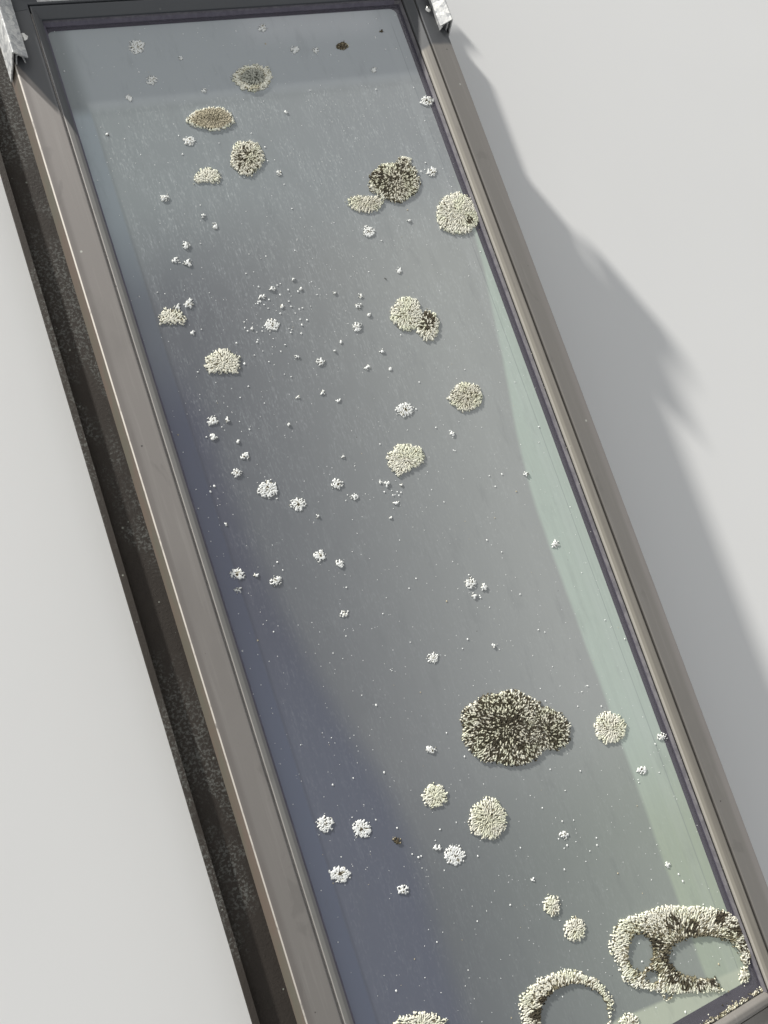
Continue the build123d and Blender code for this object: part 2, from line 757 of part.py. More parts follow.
def make_side_covers():
    cover = side_bar(cover_section(), BOTTOM_LIP - COVER_TAIL, TOP_LIP + COVER_JOINT)
    save("side_cover_right", cover)
    save("side_cover_left", mirrored(cover))


def make_top_cover():
    """Cross piece with mitred ears that carry on the line of the side covers."""
    ear = side_bar(cover_section(), TOP_LIP + COVER_JOINT + JOINT_GAP, TOP_LIP + COVER_FLANGE_OUT) - MITRE
    points = [
        (COVER_EDGE, LIP_HEIGHT - COVER_RETURN),
        (COVER_EDGE, LIP_HEIGHT + BEAD_RISE),
        (TOP_COVER_END, cover_height(TOP_COVER_END)),
    ]
    reach = HALF_WIDTH + TOP_COVER_END
    cross = top_bar(folded(points, COVER_BEND), -reach, reach) & MITRE
    save("top_cover", cross + ear + mirrored(ear))


def bottom_cover_section():
    """Convex strip along the glass, a groove, a falling flat and a rounded nose."""
    lip = LIP_HEIGHT
    strip_side = lip - STRIP_SIDE_DROP
    foot = lip - STRIP_FOOT_DROP
    crown = lip - STRIP_CROWN_DROP
    groove = foot - JOINT_GAP
    flat_start = STRIP_OUTER + GROOVE
    under = GLASS_LAP + BEAD_WALL
    wall_in = NOSE_OUT - NOSE_WALL
    points = [
        (0, foot),
        (0, strip_side),
        (STRIP_CROWN_IN, crown),
        (STRIP_CROWN_OUT, crown),
        (STRIP_OUTER, strip_side),
        (STRIP_OUTER, groove),
        (flat_start, groove),
        (flat_start, strip_side - JOINT_GAP),
        (NOSE_START, lip - NOSE_START_DROP),
        (NOSE_OUT, lip - NOSE_TURN_DROP),
        (NOSE_OUT, lip - NOSE_DROP),
        (wall_in, lip - NOSE_DROP),
        (wall_in, lip - NOSE_TURN_DROP - NOSE_WALL),
        (NOSE_START - NOSE_WALL, bottom_seat(NOSE_START - NOSE_WALL)),
        (under, lip + BOTTOM_UNDERSIDE),
        (under, foot),
    ]
    radii = [0, 1.2, 3.6, 4.2, 0.6, 0, 0, 0.4, 7.0, 7.0, 0, 0, 5.0, 4.0, 0, 0]
    return outline(points, radii)


def make_bottom_cover():
    reach = HALF_WIDTH - BOTTOM_COVER_CLEAR
    save("bottom_cover", bottom_bar(bottom_cover_section(), -reach, reach))


def make_end_caps():
    """Moulded caps that close the lower ends of the side covers and beads."""
    top = outline([
        (0, LIP_HEIGHT - NOSE_DROP),
        (0, LIP_HEIGHT),
        (BEAD_RUN, LIP_HEIGHT + BEAD_RISE),
        (COVER_FLAT_END, cover_height(COVER_FLAT_END)),
        (COVER_FLANGE_OUT, LIP_HEIGHT - COVER_FLANGE_DROP),
        (COVER_FLANGE_OUT, LIP_HEIGHT - NOSE_DROP),
    ], [0, 0, 1.0, COVER_BEND, 1.0, 2.0])
    end = BOTTOM_LIP - COVER_TAIL
    cap = side_bar(top, end - CAP_THICKNESS, end)
    save("cover_end_caps", cap, mirrored(cap))


def make_clips():
    """Small packers between the top of the sash timber and the covers."""
    under = SHEET * math.hypot(1, COVER_FLAT_DROP / (COVER_FLAT_END - COVER_EDGE))
    section = outline([
        (CLIP_INNER, SASH_UPSTAND_TOP),
        (CLIP_OUTER, SASH_UPSTAND_TOP),
        (CLIP_OUTER, cover_height(CLIP_OUTER) - under),
        (CLIP_INNER, cover_height(CLIP_INNER) - under),
    ])
    pitch = OPENING_LENGTH / (CLIP_COUNT + 1)
    clips = []
    for index in range(CLIP_COUNT):
        y = BOTTOM_LIP + pitch * (index + 1)
        clip = side_bar(section, y - CLIP_LENGTH / 2, y + CLIP_LENGTH / 2)
        clips += [clip, mirrored(clip)]
    save("cover_clips", *clips)


def screw_head(place, direction, radius=SCREW_RADIUS, height=SCREW_HEIGHT):
    """Domed screw head that seats at a place. The sheet and the timber hide the rest."""
    foot = Plane(place, z_dir=direction) * RegularPolygon(radius, SCREW_SIDES)
    lean = math.degrees(math.atan(radius * (1 - SCREW_TAPER) / height))
    return extrude(foot, amount=height, taper=lean)


def cover_screw(y):
    """Dome-headed screw square to the side cover."""
    fall = COVER_FLAT_DROP / (COVER_FLAT_END - COVER_EDGE)
    place = (HALF_WIDTH + SCREW_AT, y, cover_height(SCREW_AT))
    return screw_head(place, (fall, 0, 1), DOME_RADIUS, DOME_HEIGHT)


def make_cover_screws():
    screws = [cover_screw(TOP_LIP - SCREW_FROM_TOP), cover_screw(BOTTOM_LIP - SCREW_FROM_BOTTOM)]
    save("cover_screws", *screws, *[mirrored(screw) for screw in screws])


def make_plate():
    """Blank plate on the left of the top cover."""
    end = PLATE_START + PLATE_WIDTH
    section = outline([
        (PLATE_START, cover_height(PLATE_START)),
        (end, cover_height(end)),
        (end, cover_height(end) + PLATE_THICKNESS),
        (PLATE_START, cover_height(PLATE_START) + PLATE_THICKNESS),
    ])
    save("blank_plate", top_bar(section, -HALF_WIDTH, PLATE_LENGTH - HALF_WIDTH))


# Hood, legs and hinges

def hood_top(distance):
    """Height of the hood's top behind its break, at a distance above the top lip."""
    share = (distance - HOOD_BREAK) / (HOOD_BACK - HOOD_BREAK)
    return LIP_HEIGHT + HOOD_BREAK_TOP + (HOOD_BACK_TOP - HOOD_BREAK_TOP) * share


def make_hood():
    """Folded hood with closed cheeks, open at the front and below."""
    lip = LIP_HEIGHT
    points = [
        (HOOD_FRONT, lip + HOOD_LIP_LOW),
        (HOOD_FRONT, lip + HOOD_FRONT_TOP),
        (HOOD_BREAK, lip + HOOD_BREAK_TOP),
        (HOOD_BACK, lip + HOOD_BACK_TOP),
        (HOOD_BACK, lip + HOOD_BACK_LOW),
    ]
    reach = HALF_WIDTH + HOOD_OUT
    shell = top_bar(folded(points, SHEET_BEND), -reach, reach)
    cheek_outline = outline([
        (HOOD_FRONT, lip + HOOD_CHEEK_LOW),
        (HOOD_FRONT, lip + HOOD_FRONT_TOP),
        (HOOD_BREAK, lip + HOOD_BREAK_TOP),
        (HOOD_BACK, lip + HOOD_BACK_TOP),
        (HOOD_BACK, lip + HOOD_CHEEK_LOW),
    ], [4.0, SHEET_BEND, SHEET_BEND, SHEET_BEND, 4.0])
    cheek = top_bar(cheek_outline, reach - SHEET, reach)
    save("hood", shell + cheek + mirrored(cheek))


def make_hood_brackets():
    """Folded steel supports between the sash rail and the hood."""
    foot = HOOD_FRONT
    wall = SASH_HEAD - SHEET
    flange_end = wall + HOOD_BREAK / 4
    under = SHEET + BRACKET_GAP
    section = outline([
        (foot, STRAP_SEAT),
        (SASH_HEAD, STRAP_SEAT),
        (SASH_HEAD, hood_top(SASH_HEAD) - under - 2 * SHEET),
        (flange_end, hood_top(flange_end) - under - 2 * SHEET),
        (flange_end, hood_top(flange_end) - under),
        (wall - SHEET, hood_top(wall - SHEET) - under - SHEET / 2),
        (wall - SHEET, STRAP_SEAT + 2 * SHEET),
        (foot, STRAP_SEAT + 2 * SHEET),
    ])
    brackets = []
    for x in (-HOOD_BRACKET_X, HOOD_BRACKET_X):
        brackets.append(top_bar(section, x - HOOD_BRACKET_WIDTH / 2, x + HOOD_BRACKET_WIDTH / 2))
    save("hood_brackets", *brackets)


def lifted(point):
    """A section point given from the lip, at its height above the frame's underside."""
    return (point[0], LIP_HEIGHT + point[1])


def make_legs():
    """Bare galvanised legs at the two upper corners, folded from strip."""
    section = folded([lifted(LEG_INNER), lifted(LEG_RIDGE), lifted(LEG_OUTER)], LEG_STEEL, LEG_STEEL)
    leg = side_bar(section, TOP_LIP + LEG_START, TOP_LIP + LEG_END)
    slope = (LEG_RIDGE[1] - LEG_INNER[1]) / (LEG_RIDGE[0] - LEG_INNER[0])
    web_out = LEG_INNER[0] + LEG_STEEL
    web = outline([
        (LEG_INNER[0], cover_height(LEG_INNER[0])),
        (web_out, cover_height(LEG_INNER[0])),
        (web_out, LIP_HEIGHT + LEG_INNER[1] + slope * LEG_STEEL - LEG_STEEL / 2),
        (LEG_INNER[0], LIP_HEIGHT + LEG_INNER[1] - LEG_STEEL / 2),
    ])
    leg = leg + side_bar(web, TOP_LIP + LEG_WEB_START, TOP_LIP + LEG_WEB_END)
    save("hood_leg_right", leg)
    save("hood_leg_left", mirrored(leg))


def make_saddles():
    """Thin arched strips between the side covers and the legs."""
    inner = LEG_INNER[0] + SADDLE_INSET
    outer = LEG_RIDGE[0] - SADDLE_INSET / 3
    points = [
        (inner, cover_height(inner) + SADDLE_CLEAR),
        (inner + SADDLE_LEAN, LIP_HEIGHT + SADDLE_INNER_TOP),
        (outer - SADDLE_LEAN, LIP_HEIGHT + SADDLE_OUTER_TOP),
        (outer, cover_height(outer) + SADDLE_CLEAR),
    ]
    start = TOP_LIP + LEG_START + SADDLE_SETBACK
    saddle = side_bar(folded(points, SADDLE_BENDS), start, TOP_LIP + COVER_JOINT)
    save("leg_saddles", saddle, mirrored(saddle))


def pin_axis(x, half, radius):
    return rod((x - half, HINGE_Y, HINGE_Z), (x + half, HINGE_Y, HINGE_Z), radius)


def screw_pair(x, y, z, direction):
    """Two screw heads side by side on a hinge strap or leaf."""
    return [screw_head((x + step, y, z), direction) for step in (-HINGE_WIDTH / 4, HINGE_WIDTH / 4)]


def make_hinges():
    """Leaves with outer knuckles on the head, straps with middle knuckles on the sash, and pins."""
    leaves, straps, pins, screws_out, screws_in = [], [], [], [], []
    back = TOP_LIP + LEAF_FACE
    steel = HINGE_STEEL
    bore_radius = PIN_RADIUS + PIN_CLEARANCE
    split = KNUCKLE_WIDTH / 2 + KNUCKLE_GAP
    half = HINGE_WIDTH / 2
    for x in (-HINGE_OFFSET, HINGE_OFFSET):
        bore = pin_axis(x, HINGE_WIDTH, bore_radius)
        leaf = block((x - half, back, LEAF_LOW), (x + half, back + steel, HINGE_Z))
        leaf = leaf + pin_axis(x, half, KNUCKLE_RADIUS)
        room = KNUCKLE_RADIUS + KNUCKLE_GAP
        low = (x - split, back - steel, HINGE_Z - room)
        high = (x + split, HINGE_Y + room, HINGE_Z + room)
        leaf = leaf - block(low, high) - bore
        plan = make_face(Polyline(
            (x - half, TOP_LIP + STRAP_START), (x + half, TOP_LIP + STRAP_START),
            (x + half, TOP_LIP + STRAP_SHOULDER), (x + KNUCKLE_WIDTH / 2, TOP_LIP + STRAP_NECK),
            (x + KNUCKLE_WIDTH / 2, HINGE_Y), (x - KNUCKLE_WIDTH / 2, HINGE_Y),
            (x - KNUCKLE_WIDTH / 2, TOP_LIP + STRAP_NECK), (x - half, TOP_LIP + STRAP_SHOULDER), close=True))
        strap = extrude(Pos(0, 0, STRAP_SEAT) * plan, amount=steel)
        strap = strap + pin_axis(x, KNUCKLE_WIDTH / 2, KNUCKLE_RADIUS) - bore
        leaves.append(leaf)
        straps.append(strap)
        pins.append(pin_axis(x, half + PIN_PROUD, PIN_RADIUS))
        screws_out += screw_pair(x, back + steel, (LEAF_LOW + FRAME_HEIGHT) / 2, (0, 1, 0))
        screw_y = TOP_LIP + (STRAP_START + STRAP_SHOULDER) / 2
        screws_in += screw_pair(x, screw_y, STRAP_SEAT + steel, (0, 0, 1))
    save("hinge_leaves", *leaves)
    save("hinge_straps", *straps)
    save("hinge_pins", *pins)
    save("leaf_screws", *screws_out)
    save("strap_screws", *screws_in)


# Lock on the bottom rail

def make_lock():
    face = BOTTOM_LIP + SASH_REVEAL
    rose_plane = Plane((0, face, LOCK_HEIGHT), x_dir=(1, 0, 0), z_dir=(0, 1, 0))
    rose = extrude(rose_plane * RectangleRounded(ROSE_LENGTH, 2 * ROSE_HALF, ROSE), amount=ROSE)
    axis_low = (0, face - SPINDLE_DEPTH, LOCK_HEIGHT)
    tongue_low = face + ROSE + TONGUE_GAP
    hub_low = tongue_low + TONGUE
    hub_high = hub_low + HUB_LENGTH
    bore = rod(axis_low, (0, hub_high, LOCK_HEIGHT), SPINDLE_RADIUS + PIN_CLEARANCE)
    save("lock_rose", rose - bore)
    save("lock_tongue", lock_tongue(tongue_low) - spindle(axis_low[1], hub_high, SPINDLE_FIT))
    save("lock_lever", lock_lever(hub_low, hub_high) + spindle(axis_low[1], hub_high))
    save("lock_keeper", lock_keeper())


def polar(radius, angle):
    """A point in the lock's own plane, the angle counted from straight down towards +X."""
    turn = math.radians(angle)
    return (radius * math.sin(turn), LOCK_HEIGHT - radius * math.cos(turn))


def upright(face_2d, y, thickness):
    """A plate parallel to the bottom rail, from a section drawn in X and height."""
    plane = Plane((0, y, 0), x_dir=(1, 0, 0), z_dir=(0, -1, 0))
    return extrude(plane * face_2d, amount=-thickness)


def radial(start, end, width, angle):
    """A straight bar in the lock's plane, along a ray from the hub."""
    bar = Pos((start + end) / 2, 0) * Rectangle(end - start, width)
    return Pos(0, LOCK_HEIGHT) * Rot(0, 0, angle - 90) * bar


def spindle(low, high, fit=0.0):
    """Square bar that turns the tongue with the lever. It runs in round bores of the rose and the rail."""
    side = SPINDLE_SIDE + 2 * fit
    return upright(Pos(0, LOCK_HEIGHT) * Rectangle(side, side), low, high - low)


def lock_tongue(low):
    """Cam plate: a hub, an arm and a toe that is concentric with the hub."""
    middle = (TOE_START + TOE_END) / 2
    toe = make_face([
        ThreePointArc(polar(TOE_INNER, TOE_START), polar(TOE_INNER, middle), polar(TOE_INNER, TOE_END)),
        Line(polar(TOE_INNER, TOE_END), polar(TOE_OUTER, TOE_END)),
        ThreePointArc(polar(TOE_OUTER, TOE_END), polar(TOE_OUTER, middle), polar(TOE_OUTER, TOE_START)),
        Line(polar(TOE_OUTER, TOE_START), polar(TOE_INNER, TOE_START)),
    ])
    arm = radial(0, (TOE_INNER + TOE_OUTER) / 2, TONGUE_ARM, TONGUE_ARM_ANGLE)
    hub = Pos(0, LOCK_HEIGHT) * Circle(HUB_RADIUS)
    return upright(toe + arm + hub, low, TONGUE)


def lock_lever(low, high):
    """Cast lever on its hub."""
    hub = upright(Pos(0, LOCK_HEIGHT) * Circle(HUB_RADIUS), low, high - low)
    bar = radial(0, LEVER_LENGTH, LEVER_WIDTH, LEVER_ANGLE)
    tip = polar(LEVER_LENGTH, LEVER_ANGLE)
    grip = bar + Pos(tip[0], tip[1]) * Circle(LEVER_WIDTH * 0.6)
    return hub + upright(grip, high - LEVER_THICKNESS, LEVER_THICKNESS)


def lock_keeper():
    """Block on the sill that the toe passes under, on a screwed plate."""
    sill_face = BOTTOM_LIP - FRAME_INSET
    nib = block((-KEEPER_HALF, sill_face, KEEPER_LOW), (KEEPER_HALF, sill_face + KEEPER_REACH, SHOULDER))
    nib = fillet(nib.edges().filter_by(Axis.X).sort_by(Axis.Y)[-2:], 1.5)
    low = (-KEEPER_PLATE_HALF, sill_face, SHOULDER - KEEPER_PLATE_HEIGHT)
    high = (KEEPER_PLATE_HALF, sill_face + PEG_PLATE, SHOULDER)
    return nib + block(low, high)


# Stay on the left stile

STAY_X = -(HALF_WIDTH - SASH_REVEAL)
STAY_Y = BOTTOM_LIP + STAY_FROM_BOTTOM
BAR_X = STAY_X + STAY_PLATE + STAY_RUNNING_GAP


def make_stay():
    """Plate and pin on the stile, perforated bar with a knob, and the peg on the jamb."""
    pin_end = BAR_X + STAY_STEEL + STAY_RUNNING_GAP
    pin = rod((STAY_X, STAY_Y, LOCK_HEIGHT), (pin_end, STAY_Y, LOCK_HEIGHT), STAY_PIN_RADIUS)
    rivet = rod((pin_end, STAY_Y, LOCK_HEIGHT), (pin_end + PIN_PROUD, STAY_Y, LOCK_HEIGHT), STAY_WIDTH / 3)
    low = (STAY_X, STAY_Y - STAY_PLATE_LENGTH / 2, LOCK_HEIGHT - STAY_WIDTH / 2)
    high = (STAY_X + STAY_PLATE, STAY_Y + STAY_PLATE_LENGTH / 2, LOCK_HEIGHT + STAY_WIDTH / 2)
    save("stay_pivot", block(low, high) + pin + rivet)

    bar_plane = Plane((BAR_X, STAY_Y + STAY_LENGTH / 2, LOCK_HEIGHT), x_dir=(0, 1, 0), z_dir=(1, 0, 0))
    bar = extrude(bar_plane * SlotCenterToCenter(STAY_LENGTH, STAY_WIDTH), amount=STAY_STEEL)
    bores = [(0.0, STAY_PIN_RADIUS + PIN_CLEARANCE)]
    bores += [(STAY_HOLE_FIRST + index * STAY_HOLE_PITCH, STAY_HOLE) for index in range(STAY_HOLES)]
    for along, radius in bores:
        y = STAY_Y + along
        bar = bar - rod((BAR_X - 1, y, LOCK_HEIGHT), (BAR_X + STAY_STEEL + 1, y, LOCK_HEIGHT), radius)
    knob_y = STAY_Y + STAY_LENGTH
    face = BAR_X + STAY_STEEL
    knob_plane = Plane((face, knob_y, LOCK_HEIGHT), z_dir=(1, 0, 0))
    knob = extrude(knob_plane * RegularPolygon(STAY_KNOB_RADIUS, STAY_KNOB_SIDES), amount=STAY_KNOB)
    save("stay_bar", bar + knob)

    jamb_face = -(HALF_WIDTH + FRAME_INSET)
    peg_y = STAY_Y - PEG_BACK
    reach = 3 * PEG_RADIUS
    low = (jamb_face, peg_y - reach, PEG_HEIGHT - reach)
    high = (jamb_face + PEG_PLATE, peg_y + reach, PEG_HEIGHT + reach)
    peg = rod((jamb_face, peg_y, PEG_HEIGHT), (jamb_face + PEG_REACH, peg_y, PEG_HEIGHT), PEG_RADIUS)
    save("stay_peg", block(low, high) + peg)


# Growth on the glass

def patch_outline(width, length, lobes):
    """Lobed closed outline of a patch."""
    points = []
    for index in range(PATCH_POINTS):
        turn = 2 * math.pi * index / PATCH_POINTS
        wave = 1 + 0.07 * math.sin(lobes * turn) + 0.05 * math.cos((lobes - 2) * turn + 1.0)
        points.append((width / 2 * wave * math.cos(turn), length / 2 * wave * math.sin(turn)))
    return make_face(Polyline(*points, close=True))


def centre_of(share, size, opening):
    """Place of a patch's centre, from the edge of the opening, that keeps it clear of the gasket."""
    edge = GASKET_REACH + PATCH_EDGE + size / 2
    return edge + share * (opening - 2 * edge)


def make_patches():
    patches = []
    for across, down, width, length, lobes in PATCHES:
        x = centre_of(across, width, OPENING_WIDTH) - HALF_WIDTH
        y = TOP_LIP - centre_of(down, length, OPENING_LENGTH)
        foot = Pos(x, y, GLASS_TOP) * patch_outline(width, length, lobes)
        patches.append(extrude(foot, amount=PATCH_HEIGHT, taper=PATCH_BEVEL))
    save("lichen_patches", *patches)


make_frame()
make_seal()
make_cladding()
make_gutters()
make_head_flashing()
make_apron()
make_brackets()
make_sash()
make_glass_unit()
make_setting_blocks()
make_gaskets()
make_beads()
make_side_covers()
make_top_cover()
make_bottom_cover()
make_end_caps()
make_clips()
make_cover_screws()
make_plate()
make_hood()
make_hood_brackets()
make_legs()
make_saddles()
make_hinges()
make_lock()
make_stay()
make_patches()
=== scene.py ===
import json
import math
import random
from dataclasses import dataclass

import bmesh
import bpy
from mathutils import Matrix, Vector, kdtree


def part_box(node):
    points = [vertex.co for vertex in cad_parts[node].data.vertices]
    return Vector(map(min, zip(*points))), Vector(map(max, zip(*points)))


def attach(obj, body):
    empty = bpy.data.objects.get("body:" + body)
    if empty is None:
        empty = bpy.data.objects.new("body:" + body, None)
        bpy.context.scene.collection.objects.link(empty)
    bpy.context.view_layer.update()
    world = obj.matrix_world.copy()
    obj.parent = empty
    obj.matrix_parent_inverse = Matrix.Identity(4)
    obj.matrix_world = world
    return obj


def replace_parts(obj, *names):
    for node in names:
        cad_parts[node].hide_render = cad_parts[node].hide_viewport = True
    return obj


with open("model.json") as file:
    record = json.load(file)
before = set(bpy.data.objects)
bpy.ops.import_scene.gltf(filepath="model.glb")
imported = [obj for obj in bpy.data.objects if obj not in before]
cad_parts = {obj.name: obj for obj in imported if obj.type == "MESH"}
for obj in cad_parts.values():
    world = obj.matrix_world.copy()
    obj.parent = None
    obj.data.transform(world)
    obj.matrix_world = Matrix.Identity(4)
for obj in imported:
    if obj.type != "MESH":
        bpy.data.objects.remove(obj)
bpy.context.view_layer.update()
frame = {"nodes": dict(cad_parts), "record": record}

NODES = frame["nodes"]
NODE_SLOTS = {part["node"]: part["material_slot"] for part in frame["record"]["subparts"]}
MM = 0.001

# Places read from the frame: X across, Y up the slope, Z outwards, in metres.
# The lip is the inner edge of the glazing bead, which the glass laps under.
GLASS_LAP = 6 * MM
pane_low, pane_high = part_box("outer_pane")
GLASS_TOP = pane_high.z
HALF_WIDTH = pane_high.x - GLASS_LAP
TOP_LIP = pane_high.y - GLASS_LAP
BOTTOM_LIP = pane_low.y + GLASS_LAP
COVER_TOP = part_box("bead_left")[1].z

# The camera stands over the left side of the window, near its middle, and looks down to the right.
CAMERA_PLACE = Vector((-0.2866, -0.1103, 0.8838))
LOOK = Vector((0.321, 0.108, -0.941)).normalized()
IMAGE_RIGHT = Vector((0.907, -0.319, 0.273))
IMAGE_RIGHT = (IMAGE_RIGHT - LOOK * IMAGE_RIGHT.dot(LOOK)).normalized()
IMAGE_UP = IMAGE_RIGHT.cross(LOOK)
PHOTO_WIDTH = 768
PHOTO_HEIGHT = 1024
FOCAL_PIXELS = 770
SENSOR = 36.0


def from_photo(across, down):
    """The point on the glass that the camera sees at a pixel of the photograph's frame."""
    ray = LOOK + IMAGE_RIGHT * ((across - PHOTO_WIDTH / 2) / FOCAL_PIXELS)
    ray += IMAGE_UP * ((PHOTO_HEIGHT / 2 - down) / FOCAL_PIXELS)
    return CAMERA_PLACE + ray * ((GLASS_TOP - CAMERA_PLACE.z) / ray.z)


def make_camera():
    data = bpy.data.cameras.new("camera")
    data.sensor_width = SENSOR
    data.lens = SENSOR * FOCAL_PIXELS / PHOTO_HEIGHT
    data.clip_start = 0.01
    data.clip_end = 60
    camera = bpy.data.objects.new("camera", data)
    turn = Matrix((IMAGE_RIGHT, IMAGE_UP, -LOOK)).transposed()
    camera.matrix_world = Matrix.Translation(CAMERA_PLACE) @ turn.to_4x4()
    bpy.context.scene.collection.objects.link(camera)
    bpy.context.scene.camera = camera


# Shader helper

class Paint:
    """One procedural material, built from short calls. Values may be numbers or sockets.

    right and down are distances from the left and the top lip, out is the distance outside a side lip.
    """

    def __init__(self, name, roughness=0.5, metallic=0.0):
        self.material = bpy.data.materials.new(name)
        self.material.use_nodes = True
        self.tree = self.material.node_tree
        self.surface = self.tree.nodes["Principled BSDF"]
        self.set("Roughness", roughness)
        self.set("Metallic", metallic)
        self.place = self.node("TexCoord", "Object", {})
        split = self.node("SeparateXYZ", 0, {0: self.place}).node
        self.x, self.y, self.z = split.outputs
        self.right = self.math("ADD", self.x, HALF_WIDTH)
        self.down = self.math("SUBTRACT", TOP_LIP, self.y)
        self.out = self.math("SUBTRACT", self.math("ABSOLUTE", self.x), HALF_WIDTH)
        self.colour = None

    def put(self, socket, value):
        if isinstance(value, bpy.types.NodeSocket):
            self.tree.links.new(value, socket)
        elif socket.type == "RGBA":
            socket.default_value = (*value, 1.0)
        else:
            socket.default_value = value

    def set(self, name, value):
        self.put(self.surface.inputs[name], value)

    def done(self):
        """The material, with the colour on its surface."""
        self.set("Base Color", self.colour)
        return self.material

    def node(self, kind, output, inputs, **settings):
        """One output of a new node. Its inputs are given by number or name."""
        node = self.tree.nodes.new("ShaderNode" + kind)
        for name, value in settings.items():
            setattr(node, name, value)
        for key, value in inputs.items():
            self.put(node.inputs[key], value)
        return node.outputs[output]

    def math(self, operation, first, second=0.0):
        return self.node("Math", 0, {0: first, 1: second}, operation=operation)

    def both(self, first, second):
        return self.math("MULTIPLY", first, second)

    def total(self, *terms):
        """The sum of (value, weight) pairs and plain numbers."""
        answer = 0.0
        for term in terms:
            value = self.both(*term) if isinstance(term, tuple) else term
            answer = self.math("ADD", answer, value)
        return answer

    def slide(self, value, low, high, form="LINEAR"):
        """0 below low, 1 above high, straight between. High may be the smaller one."""
        inputs = {"Value": value, "From Min": low, "From Max": high}
        return self.node("MapRange", 0, inputs, interpolation_type=form)

    def step(self, value, low, high):
        """The same, smooth between."""
        return self.slide(value, low, high, "SMOOTHSTEP")

    def band(self, value, middle, half, soft):
        """1 within half of the middle, falling to 0 over soft."""
        away = self.math("ABSOLUTE", self.math("SUBTRACT", value, middle))
        return self.step(away, half + soft, half)

    def mix(self, share, first, second, kind="MIX"):
        inputs = {0: share, 6: first, 7: second}
        return self.node("Mix", 2, inputs, data_type="RGBA", blend_type=kind)

    def zone(self, right, down):
        """1 in a zone of the glass. Two places are an edge, three are a band."""
        right = self.band(self.right, *right) if len(right) == 3 else self.step(self.right, *right)
        return self.both(right, self.step(self.down, *down))

    def tones(self, share, first, second):
        """Start the colour as a mix of two."""
        self.colour = self.mix(share, first, second)

    def wash(self, tint, mask, share=1.0):
        """Lay a tint over the colour where the mask is 1, at the given share."""
        self.colour = self.mix(self.both(mask, share), self.colour, tint)

    def noise(self, scale, detail=3.0, roughness=0.55, stretch=(1, 1, 1), distortion=0.0):
        moved = self.node("VectorMath", 0, {0: self.place, 1: stretch}, operation="MULTIPLY")
        return self.node("TexNoise", "Fac", {"Vector": moved, "Scale": scale, "Detail": detail,
                                             "Roughness": roughness, "Distortion": distortion})

    def cells(self, scale, output="Distance"):
        """Round cells: the distance from a cell's middle, or the cell's colour."""
        return self.node("TexVoronoi", output, {"Vector": self.place, "Scale": scale})

    def cell_number(self, scale):
        """One random number for each cell."""
        return self.node("SeparateColor", 0, {0: self.cells(scale, "Color")})

    def speckle(self, tint, scale, share, size):
        """Lay scattered round specks over the colour, on a share of the cells."""
        spot = self.step(self.cells(scale), size, size * 0.6)
        chosen = self.step(self.cell_number(scale), 1 - share, 1 - share + 0.01)
        self.wash(tint, spot, chosen)

    def value(self, name):
        """A number stored on the mesh's points."""
        return self.node("Attribute", "Fac", {}, attribute_name=name)

    def glancing(self, blend):
        """Low where the surface is seen square on, 1 where it is seen along."""
        return self.node("LayerWeight", "Fresnel", {"Blend": blend})

    def rough(self, *terms):
        self.set("Roughness", self.total(*terms))

    def bump(self, height, distance, strength):
        inputs = {"Height": height, "Distance": distance, "Strength": strength}
        self.set("Normal", self.node("Bump", 0, inputs))


# Materials. A pair of places says from where a wash starts to where it is full.

BEAD_RUN = 8.9 * MM
COVER_FLAT_END = 39.2 * MM
NEAR_MIDDLE = 0.1

# Painted shade of the hood on the covers: how far down it reaches, at each lip and less with every metre
# outwards
LEFT_PAINTED_SHADE = 0.139
RIGHT_PAINTED_SHADE = 0.075
PAINTED_SHADE_SLOPE = 2.2
PAINTED_SHADE_EDGE = (-1 * MM, 5 * MM)
PAINTED_SHADE_RIPPLE = 6 * MM


def paint_hood_shade(paint):
    """The material, with the hood's shadow painted dark at the covers' upper end, its edge slanting
    outwards.
    """
    on_left = paint.step(paint.x, NEAR_MIDDLE, -NEAR_MIDDLE)
    out = paint.math("MAXIMUM", paint.out, 0.0)
    left_limit = paint.both(on_left, paint.total(LEFT_PAINTED_SHADE - RIGHT_PAINTED_SHADE, (out, -PAINTED_SHADE_SLOPE)))
    inside = paint.total(RIGHT_PAINTED_SHADE, left_limit, (paint.down, -1.0),
                         (paint.noise(30, 3), PAINTED_SHADE_RIPPLE))
    # Painted shade: the hood's shadow, dark towards the top lip
    paint.wash((0.070, 0.075, 0.082), paint.step(inside, *PAINTED_SHADE_EDGE), 0.90)
    return paint.done()


def shades(colour, share):
    return tuple(share * value for value in colour)


def weathered(name, upper, lower):
    """Satin paint that the weather has dulled: clouds, streaks along the slope, fine grit."""
    paint = Paint(name)
    paint.tones(paint.slide(paint.y, TOP_LIP, BOTTOM_LIP), upper, lower)
    cloud = paint.noise(11, 5, 0.6, (1, 0.4, 1), 0.5)
    paint.wash(shades(lower, 0.62), paint.step(cloud, 0.45, 0.72), 0.28)
    blot = paint.noise(38, 4, 0.6, (1, 0.5, 1), 0.8)
    paint.wash(shades(lower, 0.5), paint.step(blot, 0.60, 0.70), 0.22)
    streak = paint.noise(210, 3, 0.6, (1, 0.04, 1))
    paint.wash((0.42, 0.40, 0.37), paint.step(streak, 0.5, 0.8), 0.16)
    fine = paint.noise(1100, 2, 0.6)
    paint.wash((0.09, 0.085, 0.08), paint.step(fine, 0.55, 0.75), 0.10)
    paint.speckle((0.50, 0.50, 0.45), 70, 0.07, 0.11)
    paint.speckle((0.055, 0.050, 0.045), 95, 0.07, 0.12)
    paint.rough(0.40, (cloud, 0.2))
    paint.bump(paint.total((paint.noise(1400, 2), 0.35), (cloud, 0.65)), 0.2 * MM, 0.35)
    return paint


def cover_paint():
    return paint_hood_shade(weathered("cover_paint", (0.27, 0.255, 0.24), (0.21, 0.198, 0.182)))


